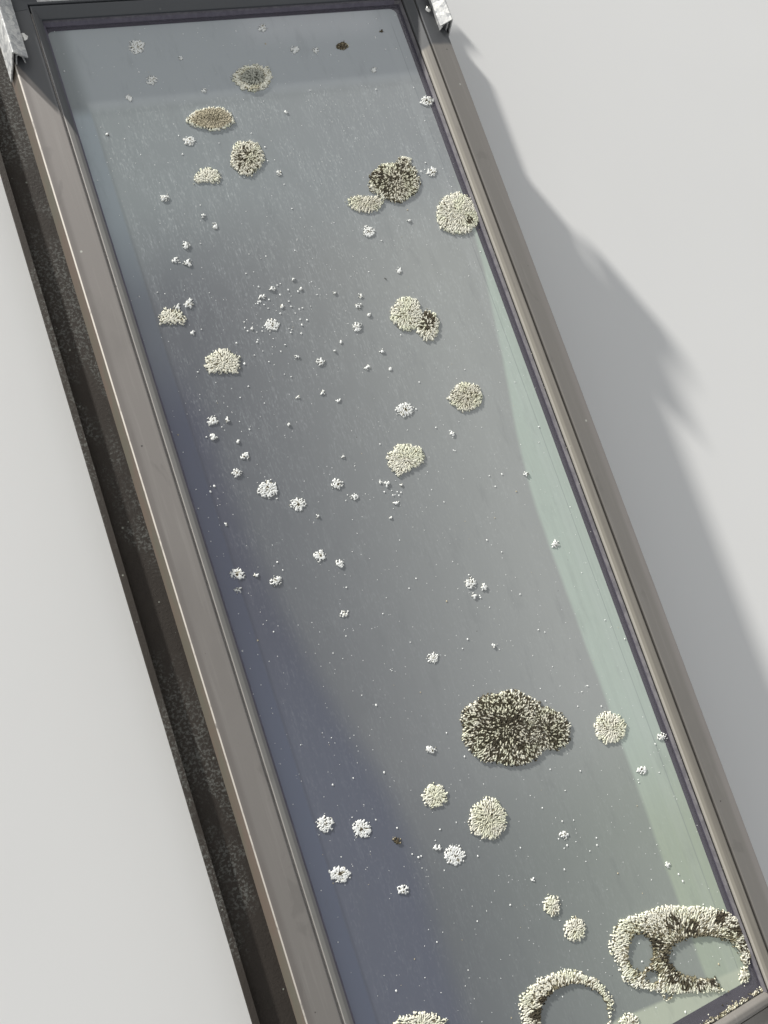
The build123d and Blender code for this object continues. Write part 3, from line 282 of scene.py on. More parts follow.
LEFT_STAIN = (31 * MM, 36 * MM)
FLANGE_START = (COVER_FLAT_END + 0.8 * MM, COVER_FLAT_END + 1.3 * MM)
EDGE_HIGHLIGHT = (COVER_FLAT_END + 0.4 * MM, 0.45 * MM, 0.3 * MM)
EDGE_FADES = 0.3


def side_cover_left():
    """The left side cover: a broken painted highlight along its outer edge and a brown stained outer
    flange.
    """
    paint = weathered("left_cover_paint", (0.258, 0.237, 0.221), (0.158, 0.149, 0.138))
    clouds = paint.total((paint.noise(22, 3, 0.5), 0.5), 0.15)
    paint.wash((0.100, 0.086, 0.078), paint.step(paint.out, *LEFT_STAIN), clouds)
    rust = paint.step(paint.noise(30, 4, 0.6, (1, 0.5, 1)), 0.35, 0.65)
    flange = paint.mix(rust, (0.112, 0.082, 0.060), (0.094, 0.086, 0.061))
    paint.wash(flange, paint.step(paint.out, *FLANGE_START))
    # Painted highlight on the rounded outer edge, stronger lower down
    fading = paint.slide(paint.y, BOTTOM_LIP, EDGE_FADES)
    highlight = paint.both(paint.step(paint.noise(60, 4, 0.7), 0.22, 0.48), paint.total(0.35, (fading, 0.65)))
    edge = paint.band(paint.out, *EDGE_HIGHLIGHT)
    paint.wash((0.80, 0.745, 0.67), paint.both(edge, highlight), 0.9)
    return paint_hood_shade(paint)


GROOVE_DARK_EDGE = (BEAD_RUN + 2.3 * MM, BEAD_RUN + 1.3 * MM)
RIGHT_RIM = (27 * MM, 35 * MM)
RIM_FADES = -0.1


def side_cover_right():
    """The right side cover: warm grey, darker along the groove, with a paler rim."""
    paint = weathered("right_cover_paint", (0.212, 0.199, 0.183), (0.200, 0.188, 0.171))
    paint.wash((0.045, 0.041, 0.036), paint.step(paint.out, *GROOVE_DARK_EDGE), 0.75)
    rim = paint.both(paint.step(paint.out, *RIGHT_RIM), paint.slide(paint.y, TOP_LIP, RIM_FADES))
    paint.wash((0.30, 0.275, 0.262), rim, 0.5)
    return paint_hood_shade(paint)


def top_cover():
    # Dark grey, painted as shade: the top cover lies in the hood's shadow
    shaded_grey = (0.088, 0.087, 0.086)
    return paint_hood_shade(weathered("top_cover_paint", shaded_grey, shaded_grey))


ALGAE_FADES = (6 * MM, 1 * MM)
LEFT_HIGHLIGHT_LINE = (6.6 * MM, 7.8 * MM)
LEFT_LIP_STRIP = (4.0 * MM, 2.6 * MM)


def bead_left():
    """The left bead: painted pale to make up for the shade the key leaves on its slope, darker along the
    lip, with a tinge of green and a faint painted highlight towards the groove.
    """
    # Painted light: paler than the right bead, to make up for the shade on this slope
    paint = weathered("left_bead_paint", (0.475, 0.450, 0.418), (0.385, 0.368, 0.332))
    algae = paint.step(paint.noise(16, 4, 0.6, (1, 0.4, 1)), 0.4, 0.65)
    algae = paint.both(algae, paint.step(paint.out, *ALGAE_FADES))
    paint.wash((0.23, 0.24, 0.18), algae, 0.5)
    # Faint painted highlight towards the groove
    paint.wash((0.62, 0.585, 0.54), paint.step(paint.out, *LEFT_HIGHLIGHT_LINE), 0.06)
    paint.wash((0.215, 0.205, 0.200), paint.step(paint.out, *LEFT_LIP_STRIP), 0.85)
    return paint_hood_shade(paint)


RIGHT_LIP_STRIP = (4.2 * MM, 2.8 * MM)
LIP_HIGHLIGHT = (1.5 * MM, 0.8 * MM)
DARK_FOOT = (BEAD_RUN - 0.9 * MM, BEAD_RUN - 0.3 * MM)


def bead_right():
    """The right bead: a streaked slope between a painted highlight on the lip and a dark groove."""
    paint = weathered("right_bead_paint", (0.184, 0.169, 0.150), (0.150, 0.139, 0.120))
    runs = paint.step(paint.noise(420, 2, 0.5, (1, 0.02, 1)), 0.45, 0.7)
    paint.wash((0.28, 0.26, 0.225), runs, 0.25)
    paint.wash((0.262, 0.244, 0.208), paint.step(paint.out, *RIGHT_LIP_STRIP), 0.8)
    # Painted highlight along the lip
    paint.wash((0.42, 0.395, 0.35), paint.step(paint.out, *LIP_HIGHLIGHT), 0.8)
    paint.wash((0.050, 0.046, 0.040), paint.step(paint.out, *DARK_FOOT))
    return paint_hood_shade(paint)


LIP_SHADOW_LINE = (0.9 * MM, 0.3 * MM)


def bead_top():
    """The top bead: dark, painted as shade, with a black line along its lip that is the painted shadow
    under it.
    """
    # Dark grey, painted as shade: the top bead lies in the hood's shadow
    shaded_grey = (0.085, 0.084, 0.083)
    paint = weathered("top_bead_paint", shaded_grey, shaded_grey)
    above = paint.math("SUBTRACT", paint.y, TOP_LIP)
    # Painted shadow under the lip
    paint.wash((0.012, 0.012, 0.014), paint.step(above, *LIP_SHADOW_LINE))
    return paint_hood_shade(paint)


def flashing_paint():
    """Dark dirty sheet with grey patches of dust and crust."""
    paint = Paint("flashing_paint", roughness=0.75)
    cloud = paint.noise(12, 6, 0.65, (1, 0.5, 1))
    paint.tones(paint.step(cloud, 0.3, 0.7), (0.028, 0.022, 0.017), (0.046, 0.038, 0.031))
    patch = paint.step(paint.noise(15, 4, 0.6, (1, 0.45, 1), 0.3), 0.47, 0.60)
    grain = paint.step(paint.noise(330, 4, 0.75), 0.48, 0.60)
    paint.wash((0.185, 0.19, 0.175), paint.both(patch, grain), 0.7)
    paint.speckle((0.30, 0.31, 0.27), 150, 0.10, 0.2)
    paint.rough(0.62, (cloud, 0.3))
    paint.bump(paint.total((grain, 0.5), (paint.noise(300, 4), 0.5)), 0.5 * MM, 0.5)
    return paint.done()


def white_timber():
    """White paint on softwood: faint grain along the piece, a little grime."""
    paint = Paint("white_timber", roughness=0.42)
    grain = paint.noise(60, 4, 0.6, (3, 0.15, 3), 0.6)
    grime = paint.noise(14, 5, 0.65)
    paint.tones(paint.step(grain, 0.35, 0.7), (0.74, 0.76, 0.72), (0.70, 0.71, 0.66))
    paint.wash((0.52, 0.52, 0.45), paint.step(grime, 0.5, 0.8), 0.5)
    paint.rough(0.35, (grime, 0.2))
    paint.bump(grain, 0.4 * MM, 0.35)
    return paint.done()


# The film on the glass, dust with painted reflections, light and shade in its colour: its margins inside
# the lips, its corners and its slanted foot
FILM_LEFT = 1.2 * MM
FILM_RIGHT = 9.5 * MM
FILM_TOP = 7.2 * MM
FILM_CORNER = 8 * MM
FILM_FOOT = 1.1952
FILM_FOOT_SLOPE = 0.027
FILM_EDGE = (-0.3 * MM, 0.4 * MM)

# Zones of the film: places right of the left lip, then below the top lip. In a band the three are
# its middle, its half width and its soft edge.
SHADE_LINE = 0.104
HOOD_SHADE = (0.01, 0.03), (SHADE_LINE + 8 * MM, SHADE_LINE - 8 * MM)
BEAD_SHADE = (22.8 * MM, 19.2 * MM), (SHADE_LINE - 6 * MM, SHADE_LINE + 12 * MM)
# Rain marks show only below the hood's shadow and right of the left bead's: real marks, kept to the
# sunlit zone as painted light
RAIN_MARKS_SUNLIT = (0.020, 0.030), (SHADE_LINE - 2 * MM, SHADE_LINE + 4 * MM)
PALE_HEAD = (0.300, 0.060, 0.050), (0.055, 0.020)
PALE_BAND = (0.3965, 4.5 * MM, 4 * MM), (0.03, 0.06)
DARK_LINE = (0.4035, 0.3 * MM, 0.5 * MM), (0.02, 0.04)
UPPER_RIGHT = (0.02, 0.40)
LOWER_RIGHT = (0.05, 0.34)
LOWER_DOWN = (0.20, 0.36)
FOOT_RIGHT = (0.09, 0.37)
FOOT_DOWN = (0.84, 1.02)
EDGE_RIPPLE = 0.05

# The violet zone and the pale strip: where the edge runs, how far it moves left lower down, from where
# to where it moves, how soft the edge is, how much of the ripple it takes, where the zone starts
VIOLET = 0.026, -0.064, (0.55, 0.95), (0.030, -0.006), 0.5, (0.36, 0.48)
STRIP = 0.412, 0.048, (0.28, 0.66), (-2 * MM, 4 * MM), 0.25, (0.20, 0.36)
VIOLET_PALES_DOWN = (0.60, 0.85)
STRIP_DARKENS_DOWN = (0.90, 1.06)

# The pale glint along the film's foot: its slanted edge, and where it starts on the left
GLINT_DOWN = 1.1422
GLINT_SLOPE = 0.12
GLINT_EDGE = (-2 * MM, 3 * MM)
GLINT_RIGHT = (0.16, 0.26)


def film_edge(paint):
    """Distance inside the edge of the dusty film, which has round corners."""
    left_away = paint.math("SUBTRACT", paint.right, FILM_LEFT)
    right_away = paint.math("SUBTRACT", 2 * HALF_WIDTH - FILM_RIGHT, paint.right)
    top_away = paint.math("SUBTRACT", paint.down, FILM_TOP)
    bottom_away = paint.total((paint.right, FILM_FOOT_SLOPE), (paint.down, -1.0), FILM_FOOT)
    across = paint.math("MINIMUM", left_away, right_away)
    along = paint.math("MINIMUM", top_away, bottom_away)
    corner = []
    for away in (across, along):
        short = paint.math("MAXIMUM", paint.math("SUBTRACT", FILM_CORNER, away), 0.0)
        corner.append(paint.both(short, short))
    reach = paint.math("SQRT", paint.math("ADD", *corner))
    return paint.math("SUBTRACT", FILM_CORNER, reach)


def painted_sky_reflection(paint, ripple):
    """The grey zones, the sky's reflection painted over the dust, paler at the head, and painted paler
    where the hood's shadow falls to make up for it.
    """
    right = paint.right
    upper = paint.mix(paint.slide(right, *UPPER_RIGHT), (0.292, 0.325, 0.332), (0.350, 0.372, 0.382))
    lower = paint.mix(paint.slide(right, *LOWER_RIGHT), (0.158, 0.168, 0.186), (0.420, 0.440, 0.430))
    foot = paint.mix(paint.slide(right, *FOOT_RIGHT), (0.128, 0.140, 0.160), (0.330, 0.372, 0.325))
    paint.tones(paint.step(paint.total(paint.down, (ripple, 1.5)), *LOWER_DOWN), upper, lower)
    # Painted light that makes up for the hood's shadow
    paint.wash((0.72, 0.77, 0.80), paint.zone(*HOOD_SHADE), 0.43)
    paint.wash((0.95, 0.95, 0.98), paint.zone(*PALE_HEAD), 0.22)
    paint.wash(foot, paint.step(paint.down, *FOOT_DOWN), 0.75)


def side_zone(paint, ripple, place, moves, moves_down, edge, wave, down):
    """1 beside an edge that runs along the glass."""
    moved = paint.both(paint.step(paint.down, *moves_down), moves)
    away = paint.total(paint.right, -place, moved, (ripple, wave))
    return paint.both(paint.step(away, *edge), paint.step(paint.down, *down))


def painted_side_zones(paint, ripple):
    """The violet zone on the left, a painted reflection, and the pale green strip on the right, the
    sunlit inner faces of the frame painted as seen through the glass, with faint lines along it.
    """
    paling = paint.step(paint.down, *VIOLET_PALES_DOWN)
    violet = paint.mix(paling, (0.098, 0.104, 0.140), (0.125, 0.138, 0.182))
    paint.wash(violet, side_zone(paint, ripple, *VIOLET))
    darkening = paint.step(paint.down, *STRIP_DARKENS_DOWN)
    pale = paint.mix(darkening, (0.545, 0.630, 0.565), (0.465, 0.535, 0.425))
    lines = paint.step(paint.noise(330, 2, 0.4, (1, 0.012, 1)), 0.42, 0.62)
    pale = paint.mix(paint.both(lines, 0.14), pale, (0.40, 0.46, 0.42))
    paint.wash(pale, side_zone(paint, ripple, *STRIP))


def film_colours(paint):
    """The dusty outer face, in overlapping washes of dust and painted reflection, with a painted glint
    along the foot. The last makes up for the left bead's shadow with painted light.
    """
    ripple = paint.total((paint.noise(6, 3, 0.5), EDGE_RIPPLE), -EDGE_RIPPLE / 2)
    painted_sky_reflection(paint, ripple)
    painted_side_zones(paint, ripple)
    paint.wash((0.70, 0.74, 0.74), paint.zone(*PALE_BAND), 0.08)
    paint.wash((0.22, 0.24, 0.26), paint.zone(*DARK_LINE), 0.35)
    below_line = paint.total(paint.down, (paint.right, -GLINT_SLOPE), -GLINT_DOWN)
    glint = paint.both(paint.step(below_line, *GLINT_EDGE), paint.step(paint.right, *GLINT_RIGHT))
    paint.wash((0.60, 0.655, 0.52), glint, 0.9)
    paint.wash(paint.mix(1.0, paint.colour, (1.66, 1.70, 1.76), "MULTIPLY"), paint.zone(*BEAD_SHADE))


RAIN_FADES_DOWN = (0.75, 0.25)
OUTER_FACE = (GLASS_TOP - 0.6 * MM, GLASS_TOP - 0.1 * MM)


def clear_glass():
    """The outer pane: clear glass below, and on its outer face dust and rain marks with painted
    reflections, light and shade.
    """
    paint = Paint("outer_glass", roughness=0.12)
    fading = paint.step(paint.down, *RAIN_FADES_DOWN)
    dashes = paint.step(paint.noise(560, 2, 0.5, (1, 0.38, 1)), 0.52, 0.68)
    runs = paint.step(paint.noise(420, 3, 0.6, (1, 0.11, 1)), 0.46, 0.70)
    patchy = paint.step(paint.noise(45, 3, 0.6, (1, 0.5, 1)), 0.30, 0.65)
    marks = paint.both(paint.total((dashes, 0.7), (runs, 0.45)), patchy)
    marks = paint.both(marks, paint.both(paint.zone(*RAIN_MARKS_SUNLIT), paint.total(0.30, (fading, 0.70))))
    film_colours(paint)
    paint.wash((0.74, 0.78, 0.78), marks, 0.20)
    dull = paint.step(paint.noise(70, 4, 0.65, (1, 0.25, 1)), 0.52, 0.75)
    paint.wash((0.14, 0.15, 0.16), dull, 0.14)
    paint.speckle((0.88, 0.89, 0.88), 210, 0.09, 0.13)
    paint.speckle((0.80, 0.81, 0.79), 330, 0.05, 0.15)
    paint.speckle((0.10, 0.095, 0.09), 120, 0.03, 0.08)
    outer_face = paint.step(paint.z, *OUTER_FACE)
    film = paint.step(film_edge(paint), *FILM_EDGE)
    # Beyond the film the outer face is painted violet-grey, the spacer below painted on the glass so that
    # the beads' shade does not darken it
    edge_band = paint.mix(outer_face, (0.16, 0.17, 0.19), (0.158, 0.149, 0.176))
    paint.tones(paint.both(outer_face, film), edge_band, paint.colour)
    # How much the film covers: dust, with its painted reflections and light
    dusty = paint.both(outer_face, paint.total(0.60, (film, 0.27), (marks, 0.08)))
    clear = paint.total(0.07, (paint.glancing(0.3), 0.6))
    paint.set("Alpha", paint.math("MAXIMUM", dusty, clear))
    paint.rough(0.10, (marks, 0.25), (dull, 0.10))
    paint.set("Specular IOR Level", 0.6)
    return paint.done()


def inner_pane():
    paint = Paint("inner_glass", roughness=0.04)
    smear = paint.noise(8, 4, 0.6)
    paint.tones(paint.step(smear, 0.4, 0.7), (0.15, 0.19, 0.18), (0.22, 0.25, 0.24))
    paint.set("Alpha", paint.total(0.08, (paint.glancing(0.35), 0.7), (smear, 0.04)))
    return paint.done()


def spacer_metal():
    """Satin spacer, violet-grey under the glass."""
    paint = Paint("spacer_metal", metallic=0.2)
    tone = paint.step(paint.noise(50, 3, 0.5), 0.35, 0.7)
    paint.tones(tone, (0.150, 0.135, 0.195), (0.190, 0.172, 0.240))
    paint.bump(paint.noise(600, 2), 0.1 * MM, 0.3)
    return paint.done()


def sealant():
    paint = Paint("sealant", roughness=0.7)
    tone = paint.noise(120, 4, 0.6)
    paint.tones(tone, (0.030, 0.027, 0.040), (0.055, 0.050, 0.066))
    paint.bump(tone, 0.4 * MM, 0.4)
    return paint.done()


def seal_rubber():
    paint = Paint("seal_rubber", roughness=0.65)
    dust = paint.step(paint.noise(90, 5, 0.7), 0.45, 0.75)
    paint.tones(dust, (0.018, 0.018, 0.019), (0.075, 0.072, 0.068))
    paint.bump(paint.noise(1200, 2), 0.1 * MM, 0.4)
    return paint.done()


# The gasket: where its sides lie from the lips, and its lines and black top above the glass, the black
# being painted shade under the bead's lip
GASKET_SIDE = (-10 * MM, -8 * MM)
RIGHT_LINE_LOW = (0.8 * MM, 1.3 * MM)
RIGHT_LINE_HIGH = (4.8 * MM, 4.3 * MM)
TOP_LINE = (4.2 * MM, 4.7 * MM)
LIP_SHADE_START = (2.5 * MM, 3.0 * MM)


def grey_gasket():
    """Rubber: violet-black, with a pale dusty line above the glass at the top and right, which on the
    right is also painted light on its sunlit slope, and above it on the right black, painted shade under
    the bead's lip.
    """
    paint = Paint("grey_gasket", roughness=0.7)
    dust = paint.noise(160, 5, 0.7, (1, 0.5, 1))
    dusty = paint.step(dust, 0.35, 0.65)
    dark = paint.mix(dusty, (0.105, 0.098, 0.128), (0.140, 0.130, 0.165))
    pale = paint.mix(dusty, (0.135, 0.128, 0.140), (0.215, 0.205, 0.214))
    above = paint.math("SUBTRACT", paint.z, GLASS_TOP)
    # Black: painted shade under the bead's lip
    paint.colour = (0.022, 0.020, 0.020)
    paint.speckle((0.45, 0.43, 0.36), 330, 0.4, 0.25)
    right = paint.mix(paint.step(above, *LIP_SHADE_START), dark, paint.colour)
    line = paint.both(paint.step(above, *RIGHT_LINE_LOW), paint.step(above, *RIGHT_LINE_HIGH))
    right = paint.mix(line, right, pale)
    at_top = paint.step(paint.y, *(TOP_LIP + side for side in GASKET_SIDE))
    paint.tones(paint.both(at_top, paint.both(paint.step(above, *TOP_LINE), 0.55)), dark, pale)
    paint.wash(right, paint.step(paint.x, *(HALF_WIDTH + side for side in GASKET_SIDE)))
    paint.bump(dust, 0.3 * MM, 0.4)
    return paint.done()


def moulded_caps():
    paint = Paint("moulded_caps", roughness=0.6)
    tone = paint.step(paint.noise(60, 4, 0.6), 0.35, 0.7)
    paint.tones(tone, (0.150, 0.145, 0.138), (0.215, 0.207, 0.197))
    paint.speckle((0.5, 0.5, 0.45), 120, 0.1, 0.15)
    paint.bump(paint.noise(1600, 2), 0.1 * MM, 0.4)
    return paint.done()


def galvanised_steel():
    """Hot-dip zinc: flat spangles of differing grey, with a pale bloom."""
    paint = Paint("galvanised_steel", roughness=0.45, metallic=0.35)
    flake = paint.cell_number(190)
    bloom = paint.noise(45, 5, 0.65)
    tone = paint.total((flake, 0.5), (paint.cell_number(520), 0.3), (bloom, 0.35))
    paint.tones(paint.step(tone, 0.2, 0.95), (0.33, 0.34, 0.35), (0.66, 0.66, 0.64))
    paint.rough(0.35, (flake, 0.25))
    paint.bump(paint.total((flake, 0.6), (bloom, 0.4)), 0.2 * MM, 0.5)
    return paint.done()


def plated_steel():
    paint = Paint("plated_steel", roughness=0.38, metallic=0.8)
    dull = paint.noise(70, 4, 0.6)
    paint.tones(paint.step(dull, 0.4, 0.75), (0.60, 0.60, 0.58), (0.42, 0.41, 0.38))
    paint.rough(0.14, (dull, 0.24))
    paint.bump(paint.noise(900, 2, 0.5, (1, 0.08, 1)), 0.1 * MM, 0.3)
    return paint.done()


def white_hardware():
    paint = Paint("white_hardware", roughness=0.25)
    tone = paint.noise(40, 3, 0.5)
    paint.tones(tone, (0.74, 0.75, 0.72), (0.68, 0.69, 0.65))
    paint.rough(0.2, (tone, 0.15))
    paint.bump(paint.noise(500, 2), 0.1 * MM, 0.2)
    return paint.done()


def bare_plate():
    paint = Paint("bare_plate", roughness=0.4)
    stain = paint.noise(110, 5, 0.65)
    paint.tones(paint.step(stain, 0.5, 0.8), (0.70, 0.70, 0.68), (0.45, 0.44, 0.41))
    paint.bump(stain, 0.1 * MM, 0.3)
    return paint.done()


def lichen_crust():
    """Cream lobes, darker from their crests into the gaps between them, partly as painted shade. The mesh
    carries the tone and the hue of each point.
    """
    paint = Paint("lichen_crust", roughness=0.9)
    hue = paint.value("hue")
    grain = paint.noise(1800, 3, 0.7)
    tone = paint.total((paint.value("tone"), 0.92), (grain, 0.22), -0.08)
    cream = paint.mix(paint.step(tone, -0.11, 0.00), (0.014, 0.012, 0.008), (0.085, 0.070, 0.046))
    cream = paint.mix(paint.step(tone, 0.00, 0.34), cream, (0.52, 0.475, 0.32))
    cream = paint.mix(paint.step(tone, 0.22, 0.54), cream, (0.98, 0.965, 0.83))
    cool = paint.step(hue, -0.1, -0.6)
    lime = paint.both(paint.step(paint.noise(55, 2), 0.45, 0.62), paint.math("SUBTRACT", 1.0, cool))
    cream = paint.mix(paint.both(lime, 0.42), cream, (0.93, 1.0, 0.82), "MULTIPLY")
    cream = paint.mix(cool, cream, (0.97, 1.0, 1.13), "MULTIPLY")
    olive = paint.mix(paint.step(tone, 0.05, 0.45), (0.022, 0.017, 0.010), (0.190, 0.155, 0.092))
    olive = paint.mix(paint.step(tone, 0.40, 0.90), olive, (0.56, 0.49, 0.34))
    # The green is painted lighter, to make up for the hood's shadow on the rosette that has it
    green = paint.mix(paint.step(tone, 0.02, 0.70), (0.105, 0.112, 0.088), (0.60, 0.61, 0.53))
    paint.tones(paint.slide(hue, 0.0, 1.0), cream, olive)
    paint.wash(green, paint.slide(hue, 1.2, 2.0))
    paint.bump(grain, 0.5 * MM, 0.5)
    return paint.done()


def floor_paint():
    paint = Paint("floor_paint", roughness=0.85)
    tone = paint.noise(2.5, 4, 0.5)
    paint.tones(tone, (0.74, 0.74, 0.73), (0.79, 0.79, 0.78))
    return paint.done()


def made_by_name(*makers):
    return {maker.__name__: maker() for maker in makers}


MATERIALS = made_by_name(
    cover_paint, flashing_paint, white_timber, clear_glass, spacer_metal, sealant, seal_rubber,
    grey_gasket, moulded_caps, galvanised_steel, plated_steel, white_hardware, bare_plate, lichen_crust)


def finish_nodes():
    """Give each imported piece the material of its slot, or its own."""
    own = made_by_name(inner_pane, side_cover_left, side_cover_right, top_cover, bead_left, bead_right,
                       bead_top)
    for name, piece in NODES.items():
        material = own.get(name, MATERIALS[NODE_SLOTS[name]])
        piece.data.materials.clear()
        piece.data.materials.append(material)


# Growth on the glass

@dataclass
class Patch:
    """One rosette. Places and sizes are in the photograph's pixels, thick is in mm.

    dark and rim_dark are the shares of dark lobes at the centre and the rim. olive is its hue: brown
    towards 1, green towards 2, cool white below 0. grain scales its lobes, square makes its outline
    squarer than an ellipse. holes are bare ellipses (across, down, width, height) with dark edges,
    spots are dark places (across, down, radius). A bite (turn in degrees, share of the radius) cuts
    one side straight, a point (turn in degrees, share) draws one out. white_rim is the share of the
    radius where a white rim begins, deep is how much of its tone a dark lobe keeps.
    """

    across: float
    down: float
    width: float
    height: float
    thick: float = 2.2
    dark: float = 0.03
    rim_dark: float = 0.0
    olive: float = 0.0
    grain: float = 1.0
    square: float = 2.0
    holes: list | tuple = ()
    spots: list | tuple = ()
    bite: tuple = ()
    point: tuple = ()
    white_rim: float = 0.0
    deep: float = 0.30


# The two upper lists are one field of rosettes, split so that neither piece is too heavy
HEAD_PATCHES = [
    Patch(253, 78, 42, 29, 2.6, dark=0.22, olive=1.9, grain=0.85, white_rim=0.52),
    Patch(254, 89, 17, 7, 2.9, dark=0.2, olive=0.4, grain=0.5),
    Patch(213, 119, 45, 26, 2.4, dark=0.08, olive=0.9, grain=0.5, point=(182, 0.25),
          white_rim=0.74),
    Patch(247, 158, 35, 38, 2.4, dark=0.48, rim_dark=0.02, olive=0.15, grain=0.8, deep=0.12,
          spots=[(244, 150, 4)]),
    Patch(208, 180, 29, 26, 1.8, bite=(270, 0.30)),
    Patch(395, 182, 55, 41, 2.6, dark=0.54, rim_dark=0.38, olive=0.18, grain=0.7, deep=0.12,
          spots=[(378, 178, 9), (386, 190, 5), (400, 165, 5), (409, 176, 4)]),
    Patch(404, 162, 17, 13, 1.6, dark=0.5, rim_dark=0.4, grain=0.6, spots=[(402, 163, 5)]),
    Patch(366, 203, 38, 22, 2.0, olive=0.2, bite=(85, 0.75)),
    Patch(458, 214, 45, 44, 2.8, dark=0.02, spots=[(469, 221, 4)]),
]

UPPER_PATCHES = [
    Patch(172, 319, 30, 24, 1.8, bite=(270, 0.50)),
    Patch(223, 364, 38, 31, bite=(270, 0.65)),
    Patch(407, 314, 34, 36, 2.5, dark=0.08),
    Patch(428, 326, 24, 34, 2.5, dark=0.12, spots=[(425, 320, 11)]),
    Patch(466, 397, 35, 32, 2.3, dark=0.10, olive=0.2),
    Patch(406, 460, 40, 35, 2.3, bite=(300, 0.70)),
]

LOWER_PATCHES = [
    Patch(610, 728, 34, 34, 2.3),
    Patch(488, 819, 40, 45, 2.6, olive=0.1),
    Patch(435, 796, 27, 27, 1.8),
    Patch(552, 906, 19, 25, 2.0),
    Patch(575, 929, 24, 27, 2.0),
    Patch(629, 1022, 22, 20),
    Patch(422, 1024, 55, 26, 2.4),
    Patch(748, 951, 14, 16, 2.4, dark=0.7, rim_dark=0.2),
    Patch(744, 976, 12, 22, 1.8, dark=0.25),
    Patch(668, 995, 12, 13, 1.8, dark=0.3, holes=[(668, 995, 4, 5)]),
]

SPECKLED = {"olive": 0.14, "grain": 0.74, "square": 2.3, "deep": 0.06}
SPECKLED_PATCHES = [
    Patch(506, 728, 88, 78, 3.2, dark=0.76, rim_dark=0.54, **SPECKLED),
    Patch(545, 730, 52, 46, 3.0, dark=0.72, rim_dark=0.50, **SPECKLED),
]

RING_PATCHES = [
    Patch(684, 949, 144, 88, 3.0, dark=0.45, olive=0.1, square=2.7,
          holes=[(641, 952, 22, 34), (705, 957, 70, 40), (731, 974, 30, 34), (652, 976, 10, 10)],
          spots=[(672, 922, 9), (690, 927, 9), (722, 918, 9), (736, 928, 9), (747, 944, 8), (669, 960, 9),
                 (656, 943, 7), (672, 976, 8), (686, 984, 7), (700, 986, 6), (714, 981, 6)]),
]

ARC_PATCHES = [
    Patch(567, 1008, 98, 74, 2.8, dark=0.30, olive=0.15, square=2.2,
          holes=[(575, 1016, 66, 62)],
          spots=[(545, 1001, 7), (537, 1014, 9), (552, 992, 4), (603, 1004, 5)]),
]

# Small rosettes: place in the photograph and size there
ROSETTES = [
    (427, 101, 13), (268, 489, 20), (298, 504, 16), (237, 473, 10), (238, 574, 14),
    (276, 581, 12), (256, 576, 6), (320, 556, 12), (340, 564, 9), (325, 824, 17), (362, 829, 18),
    (340, 874, 20), (403, 890, 11), (455, 855, 20), (433, 658, 12), (431, 750, 11), (321, 362, 10),
    (357, 327, 10), (272, 325, 14), (189, 141, 12), (137, 47, 16), (152, 80, 11), (129, 98, 8),
    (165, 198, 10), (186, 246, 9), (175, 261, 8), (188, 263, 9), (108, 134, 5), (369, 232, 12),
    (432, 172, 10), (295, 50, 8), (316, 51, 7), (337, 484, 12), (405, 410, 17), (213, 421, 12),
    (214, 437, 8), (471, 583, 12), (484, 587, 8), (555, 544, 9), (437, 848, 8), (564, 835, 10),
    (662, 737, 9), (642, 770, 10), (533, 880, 6), (203, 216, 6), (215, 226, 7),
    (279, 173, 7), (286, 113, 6), (204, 91, 6), (181, 58, 5), (263, 28, 9), (374, 70, 6),
    (452, 434, 6), (526, 474, 7), (344, 614, 9), (361, 296, 6), (359, 306, 8), (494, 646, 6),
    (668, 865, 7), (387, 484, 7), (474, 596, 7), (446, 857, 6),
    (189, 304, 11), (178, 307, 6), (192, 333, 6), (252, 329, 5), (272, 289, 7), (262, 297, 6),
    (282, 306, 6), (301, 289, 4), (293, 279, 5), (335, 293, 5), (369, 315, 6), (297, 357, 6),
    (341, 342, 4), (334, 351, 4), (367, 368, 6), (382, 352, 6), (390, 369, 5), (323, 392, 7),
    (339, 401, 5), (298, 397, 5), (227, 420, 6), (238, 442, 5), (245, 456, 10), (354, 497, 8),
    (318, 516, 5), (391, 518, 5), (396, 503, 6), (381, 482, 5), (402, 485, 5), (399, 271, 7),
    (409, 221, 5), (289, 425, 4), (343, 457, 4), (226, 524, 4), (238, 590, 8),
]

# Small dark olive cushions, in the same terms
CUSHIONS = [(342, 46, 13), (397, 841, 12), (381, 31, 5), (386, 279, 4), (386, 255, 3)]

# Lobes are short bent rows of points in rings. The surface is a grid that falls away from them.
LOBE_SPACING = 1.85 * MM
LOBE_LENGTH = 3.2 * MM
LOBE_REACH = 0.82 * MM
LOBE_STOPS = (-1.0, -0.33, 0.33, 1.0)
GRID = 0.55 * MM
GRID_JITTER = 0.2
RAGGED_EDGE = 1.3 * MM
OPEN_EDGE = 2.8 * MM
FOOT = 0.02 * MM
SWELLS = ((2, 0.02), (3, 0.025), (5, 0.025), (9, 0.02))
NO_HOLE = 99.0
OPEN_RIM_OF_HOLE = 2.0
DARK_RIM_OF_HOLE = 9.0
SPOT_SHARE = 0.72
BROWNEST = 1.1
COOL_WHITE = -1.0


def make_lobes(reach, grain, draw):
    """The lobes' rows of (x, y, lobe) points, and how many lobes."""
    length = LOBE_LENGTH * grain
    spacing = LOBE_SPACING * (0.5 + 0.5 * grain)
    points = []
    count = 0
    distance = 0.0
    while distance < reach:
        in_ring = max(3, round(math.tau * distance / spacing))
        start = draw.uniform(0, math.tau)
        for index in range(in_ring):
            turn = start + math.tau * (index + draw.uniform(-0.22, 0.22)) / in_ring
            middle = distance + draw.uniform(-0.3, 0.3) * length
            half = length * draw.uniform(0.25, 0.45)
            bend = draw.uniform(-0.35, 0.35)
            for share in LOBE_STOPS:
                far = max(0.0, middle + share * half)
                angle = turn + bend * share * spacing / max(far, spacing)
                points.append((far * math.cos(angle), far * math.sin(angle), count))
            count += 1
        distance += length * 0.75
    return points, count


